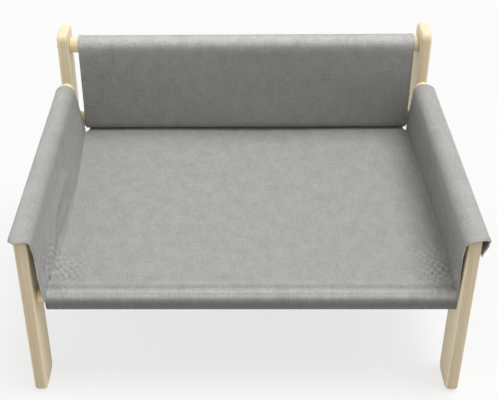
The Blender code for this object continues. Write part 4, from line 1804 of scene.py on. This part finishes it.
def arm_places(section_height, left):
    """The front and rear ends of the cloth at each column, and how far its front hem droops.

    On the panel they follow the column's height, and over the rail the angle round the rail.
    """
    columns = len(section_height)
    notch_column = columns - LOOP_POINTS - len(TAIL_SHARES) - 1
    turns = (math.pi, flap_turns[left], hem_angles[0])
    angle = np.interp(np.arange(columns), (panel_end, panel_end + OVER_POINTS, notch_column), turns)
    height = np.clip(section_height, front_edge_heights[0], arm_centre[1])
    on_panel = np.arange(columns) < panel_end
    panel_front = np.interp(height, front_edge_heights, front_edge_places[left])
    panel_rear = np.interp(height, rear_edge_heights, rear_edge_places)
    front = np.where(on_panel, panel_front, np.interp(angle, hem_angles, hem_places[left]))
    rear = np.where(on_panel, panel_rear, sleeve_rear)
    droop = np.where(on_panel, 0.0, np.interp(angle, hem_angles, hem_droops[left]))
    # Painted highlight over the rail.
    shade = 1 + np.where(on_panel, 0.0, arm_painted_highlight * bell(angle - highlight_turn, highlight_width))
    return front, rear, droop, shade, notch_column


def arm_rows():
    """Shares of the length from the front hem to the rear one, and the row at the notch's end."""
    rest = sleeve_length - notch_length
    before = stations(notch_length, front_row_step, ((0.0, *hem_row_spot),))
    after = stations(rest, arm_row_step, ((0.0, *notch_row_spot), (rest, *rear_row_spot)))
    return np.concatenate((before, notch_length + after[1:])) / sleeve_length, len(before) - 1


def arm_stitch_column(section_height):
    """The panel's column that is nearest to the middle of the sleeve's tail."""
    stitch_level = sleeve_seam_height + sleeve_tail / 2
    panel = section_height[foot_points:panel_end]
    return foot_points + int(np.argmin(np.abs(panel - stitch_level)))


print("arm rows", len(arm_rows()[0]), "with the notch's end at row", arm_rows()[1])

# %% Arm cloth
# A painted level on the lower panel: painted light on the left arm, painted shade on the right.
panel_painted_level = {True: 1.04, False: 0.84}
panel_painted_level_height = 0.222
panel_painted_level_reach = 0.020
typical_row_share = 0.7
shortest_column = 0.3
arm_weave_offset = 0.7


def arm_half(rows, notch_row, along, notch_column, length):
    """Half the thickness, with a round fall at hems, fin, tail and the two edges of the notch."""
    end = np.minimum(rows[:, None], 1 - rows[:, None]) * length
    side_end = np.minimum(along, along[:, -1:] - along)
    before_notch = np.maximum((rows - rows[notch_row]) * sleeve_length, 0)[:, None]
    beside_notch = np.maximum(along[:, notch_column, None] - along, 0)
    distance = np.minimum(np.minimum(end, side_end), np.hypot(before_notch, beside_notch))
    return sheet_half(distance, hem_swell(end))


def arm_light_and_shade(rail_highlight, section_height, y, height, along, left):
    """Painted light and shade: the highlight over the rail, plus the panel's painted level, minus
    the painted shade of the corner's folds.

    Minus, because the folds are measured away from the seat, so that a crest there is a hollow
    as one sees it.
    """
    on_panel = along < panel_reach
    low_part = smooth((panel_painted_level_height - section_height) / panel_painted_level_reach) * on_panel
    corner = crossed_folds(y, height, arm_fold_spot, arm_fold_families)
    return rail_highlight + (panel_painted_level[left] - 1) * low_part - fold_light_and_shade * corner * on_panel


def make_arm(side_name):
    """Rows go from the front hem to the rear one, columns round the section."""
    left = side_name == "left"
    rows, notch_row = arm_rows()
    low_front, low_rear = front_edge_places[left][0], rear_edge_places[0]
    low_y = low_front + rows * (low_rear - low_front)
    section = arm_section(low_y, sleeve_front + rows * sleeve_length, left)
    section_height = section[int(len(rows) * typical_row_share), :, 1]
    front, rear, droop, rail_highlight, notch_column = arm_places(section_height, left)
    y = front + rows[:, None] * (rear - front)
    steps = np.linalg.norm(np.diff(section, axis=1), axis=2)
    along = np.hstack((np.zeros((len(rows), 1)), np.cumsum(steps, axis=1)))
    out = section[..., 0] + arm_relief(section[..., 1], y, along, left)
    near_hem = np.clip(1 - (y - front) / droop_reach, 0, 1) ** 2
    height = section[..., 1] - droop * near_hem
    middle = np.stack((-out if left else out, y, height), -1)
    length = np.maximum(rear - front, shortest_column)
    half = arm_half(rows, notch_row, along, notch_column, length)
    keep = np.full((len(rows) - 1, section.shape[1] - 1), True)
    keep[:notch_row, notch_column:] = False
    uv = np.stack((along + arm_weave_offset, y), -1)
    shade = arm_light_and_shade(rail_highlight, section_height, y, height, along, left)
    nodes = (f"{side_name}_arm_cover",)
    piece = make_cloth(f"{side_name}_arm_cloth", middle, half, uv, shade, nodes, keep)
    lines = stitch_lines(middle, half, ((None, arm_stitch_column(section_height)),))
    sewn = make_stitches(f"{side_name}_arm_stitches", lines)
    flat = (float(along[:, -1].max()), low_rear - float(front.min()))
    return piece, sewn, flat, cloth_area(middle, keep)


left_arm, left_stitches, left_arm_flat, left_arm_area = make_arm("left")
right_arm, right_stitches, right_arm_flat, right_arm_area = make_arm("right")
print("areas", round(left_arm_area, 4), "left and", round(right_arm_area, 4), "right")

# %% [markdown]
# ## Backrest
# The backrest is a flat panel between two sleeves. The upper one holds the back rail, the lower
# one the rear rail. Each end goes round its rail from the front and is sewn to the panel's back.
# The panel has slow waves, puckers along the upper seam, and crossing folds in its upper left
# corner. A painted highlight makes the cloth pale where it turns over the back rail, and painted
# shade darkens the whole backrest a little.

# %% Backrest section
back_radius = 0.0135 - half_cloth
back_seam_radius = 0.0055 - half_cloth
back_sleeve_drop = 0.014
back_tail = 0.007
back_face = back_low[1] + half_cloth


def sleeve_section(rail, way):
    """From the panel round a rail and back to the panel: way is 1 for a rail above, -1 below."""
    centre = np.array((rail[1], 0.0))
    seam_depth = back_face + single_cloth + face_gap + back_seam_radius
    seam_centre = np.array((seam_depth, -back_sleeve_drop))
    around = np.array((1.0, way))
    gap = seam_centre - centre
    turn = math.acos((back_radius - back_seam_radius) / np.hypot(*gap))
    touch = math.atan2(gap[1], gap[0]) + turn
    over = arc(centre, back_radius, math.pi, touch, 44)
    ring = arc(seam_centre, back_seam_radius, touch, -math.pi, 18)
    tail = ring[-1] + np.array((0.0, back_tail))
    path = np.vstack((over, ring, tail))
    return path * around + (0.0, rail[2])


lower_sleeve = sleeve_section(rear_rail, -1)[::-1]
upper_sleeve = sleeve_section(back_rail, 1)
back_path = np.vstack((lower_sleeve, upper_sleeve))
back_length = path_length(back_path)
panel_first = path_length(lower_sleeve)
panel_last = back_length - path_length(upper_sleeve)
print("backrest panel", round(panel_last - panel_first, 4), "high between its sleeves")

# %% Backrest relief
back_fold_spot = (back_low[0] + 0.020, back_rail[2] - 0.030)
back_fold_families = (
    (math.radians(42), 0.0085, 0.0006, (0.030, 0.028)),
    (math.radians(-40), 0.0095, 0.0006, (0.028, 0.026)),
)
back_wave_height = 0.0009
back_wave_rates = (21.0, 30.0)
back_wave_start = 0.17
back_pucker = (0.013, 0.0004, 0.007)
back_seam_height = back_rail[2] - back_sleeve_drop
panel_fade = 0.012


def on_back_panel(rows):
    """1 on the panel, falling to 0 before each sleeve."""
    above = smooth((rows - panel_first) / panel_fade)
    return (above * smooth((panel_last - rows) / panel_fade))[:, None]


def back_relief(x, z):
    """How far the panel stands back from flat: slow waves, puckers and crossing folds."""
    sideways = np.sin(x * back_wave_rates[0] + 0.6)
    upwards = np.sin((z - back_wave_start) * back_wave_rates[1])
    slow = back_wave_height * sideways * upwards
    drawn = puckers(x, z - back_seam_height, *back_pucker)
    corner = crossed_folds(x, z, back_fold_spot, back_fold_families)
    return slow + drawn + corner


print("relief in the corner", round(float(back_relief(*np.array(back_fold_spot))), 5))

# %% Backrest cloth
# Painted highlight where the cloth turns over the back rail; painted shade over the whole backrest.
back_painted_highlight = 0.63
back_painted_highlight_place = panel_last + back_radius * 0.9
back_painted_highlight_reach = 0.012
back_painted_shade = 0.95
back_weave_offset = 1.4
back_width = back_high[0] - back_low[0]
back_row_step = 0.004
bend_step = 0.0013
bend_reach = panel_first * 0.7
bend_middles = (panel_first * 0.5, panel_last + panel_first * 0.5)
back_column_step = 0.005
side_hem_spot = (0.02, 0.002)


def back_stitch_rows(rows, heights):
    """The rows of the panel nearest to the middles of the two tails."""
    half_tail = back_tail / 2
    levels = (back_seam_height + half_tail, rear_rail[2] + back_sleeve_drop - half_tail)
    on_face = (rows > panel_first) & (rows < panel_last)
    return [int(np.argmin(np.where(on_face, np.abs(heights - level), 1))) for level in levels]


def make_backrest():
    """Rows follow the section from the lower tail to the upper tail, columns go across."""
    bends = [(place, bend_reach, bend_step) for place in bend_middles]
    rows = stations(back_length, back_row_step, bends)
    hems = [(place, *side_hem_spot) for place in (0.0, back_width)]
    columns = stations(back_width, back_column_step, hems)
    section = follow(back_path, rows)
    x, z = np.broadcast_arrays(back_low[0] + columns, section[:, 1:])
    y = section[:, :1] + on_back_panel(rows) * back_relief(x, z)
    middle = np.stack((x, y, z), -1)
    side = np.minimum(columns, back_width - columns)[None]
    distance = np.minimum(np.minimum(rows, back_length - rows)[:, None], side)
    half = sheet_half(distance, hem_swell(side))
    uv = np.stack((x, np.broadcast_to(rows[:, None] + back_weave_offset, x.shape)), -1)
    # Painted highlight over the back rail, painted shade overall, and the folds' painted light.
    top_highlight = back_painted_highlight * bell(rows - back_painted_highlight_place, back_painted_highlight_reach)[:, None]
    corner = crossed_folds(x, z, back_fold_spot, back_fold_families)
    shade = back_painted_shade + top_highlight - fold_light_and_shade * corner * on_back_panel(rows)
    piece = make_cloth("backrest_cloth", middle, half, uv, shade, ("backrest_cover",))
    picks = [(row, None) for row in back_stitch_rows(rows, section[:, 1])]
    sewn = make_stitches("backrest_stitches", stitch_lines(middle, half, picks))
    return piece, sewn, (back_width, back_length)


backrest, backrest_stitches, backrest_flat = make_backrest()
print("backrest", len(backrest.data.vertices), "points")

# %% [markdown]
# ## The sheets
# Each cloth's flat size is printed: the size it was cut to. The sizes are the lengths of the
# sections above. All four are stretched over the rails that they hold on to.

# %% Sheets
for flat in (seat_flat, backrest_flat, left_arm_flat, right_arm_flat):
    print("flat size", [round(value, 4) for value in flat])
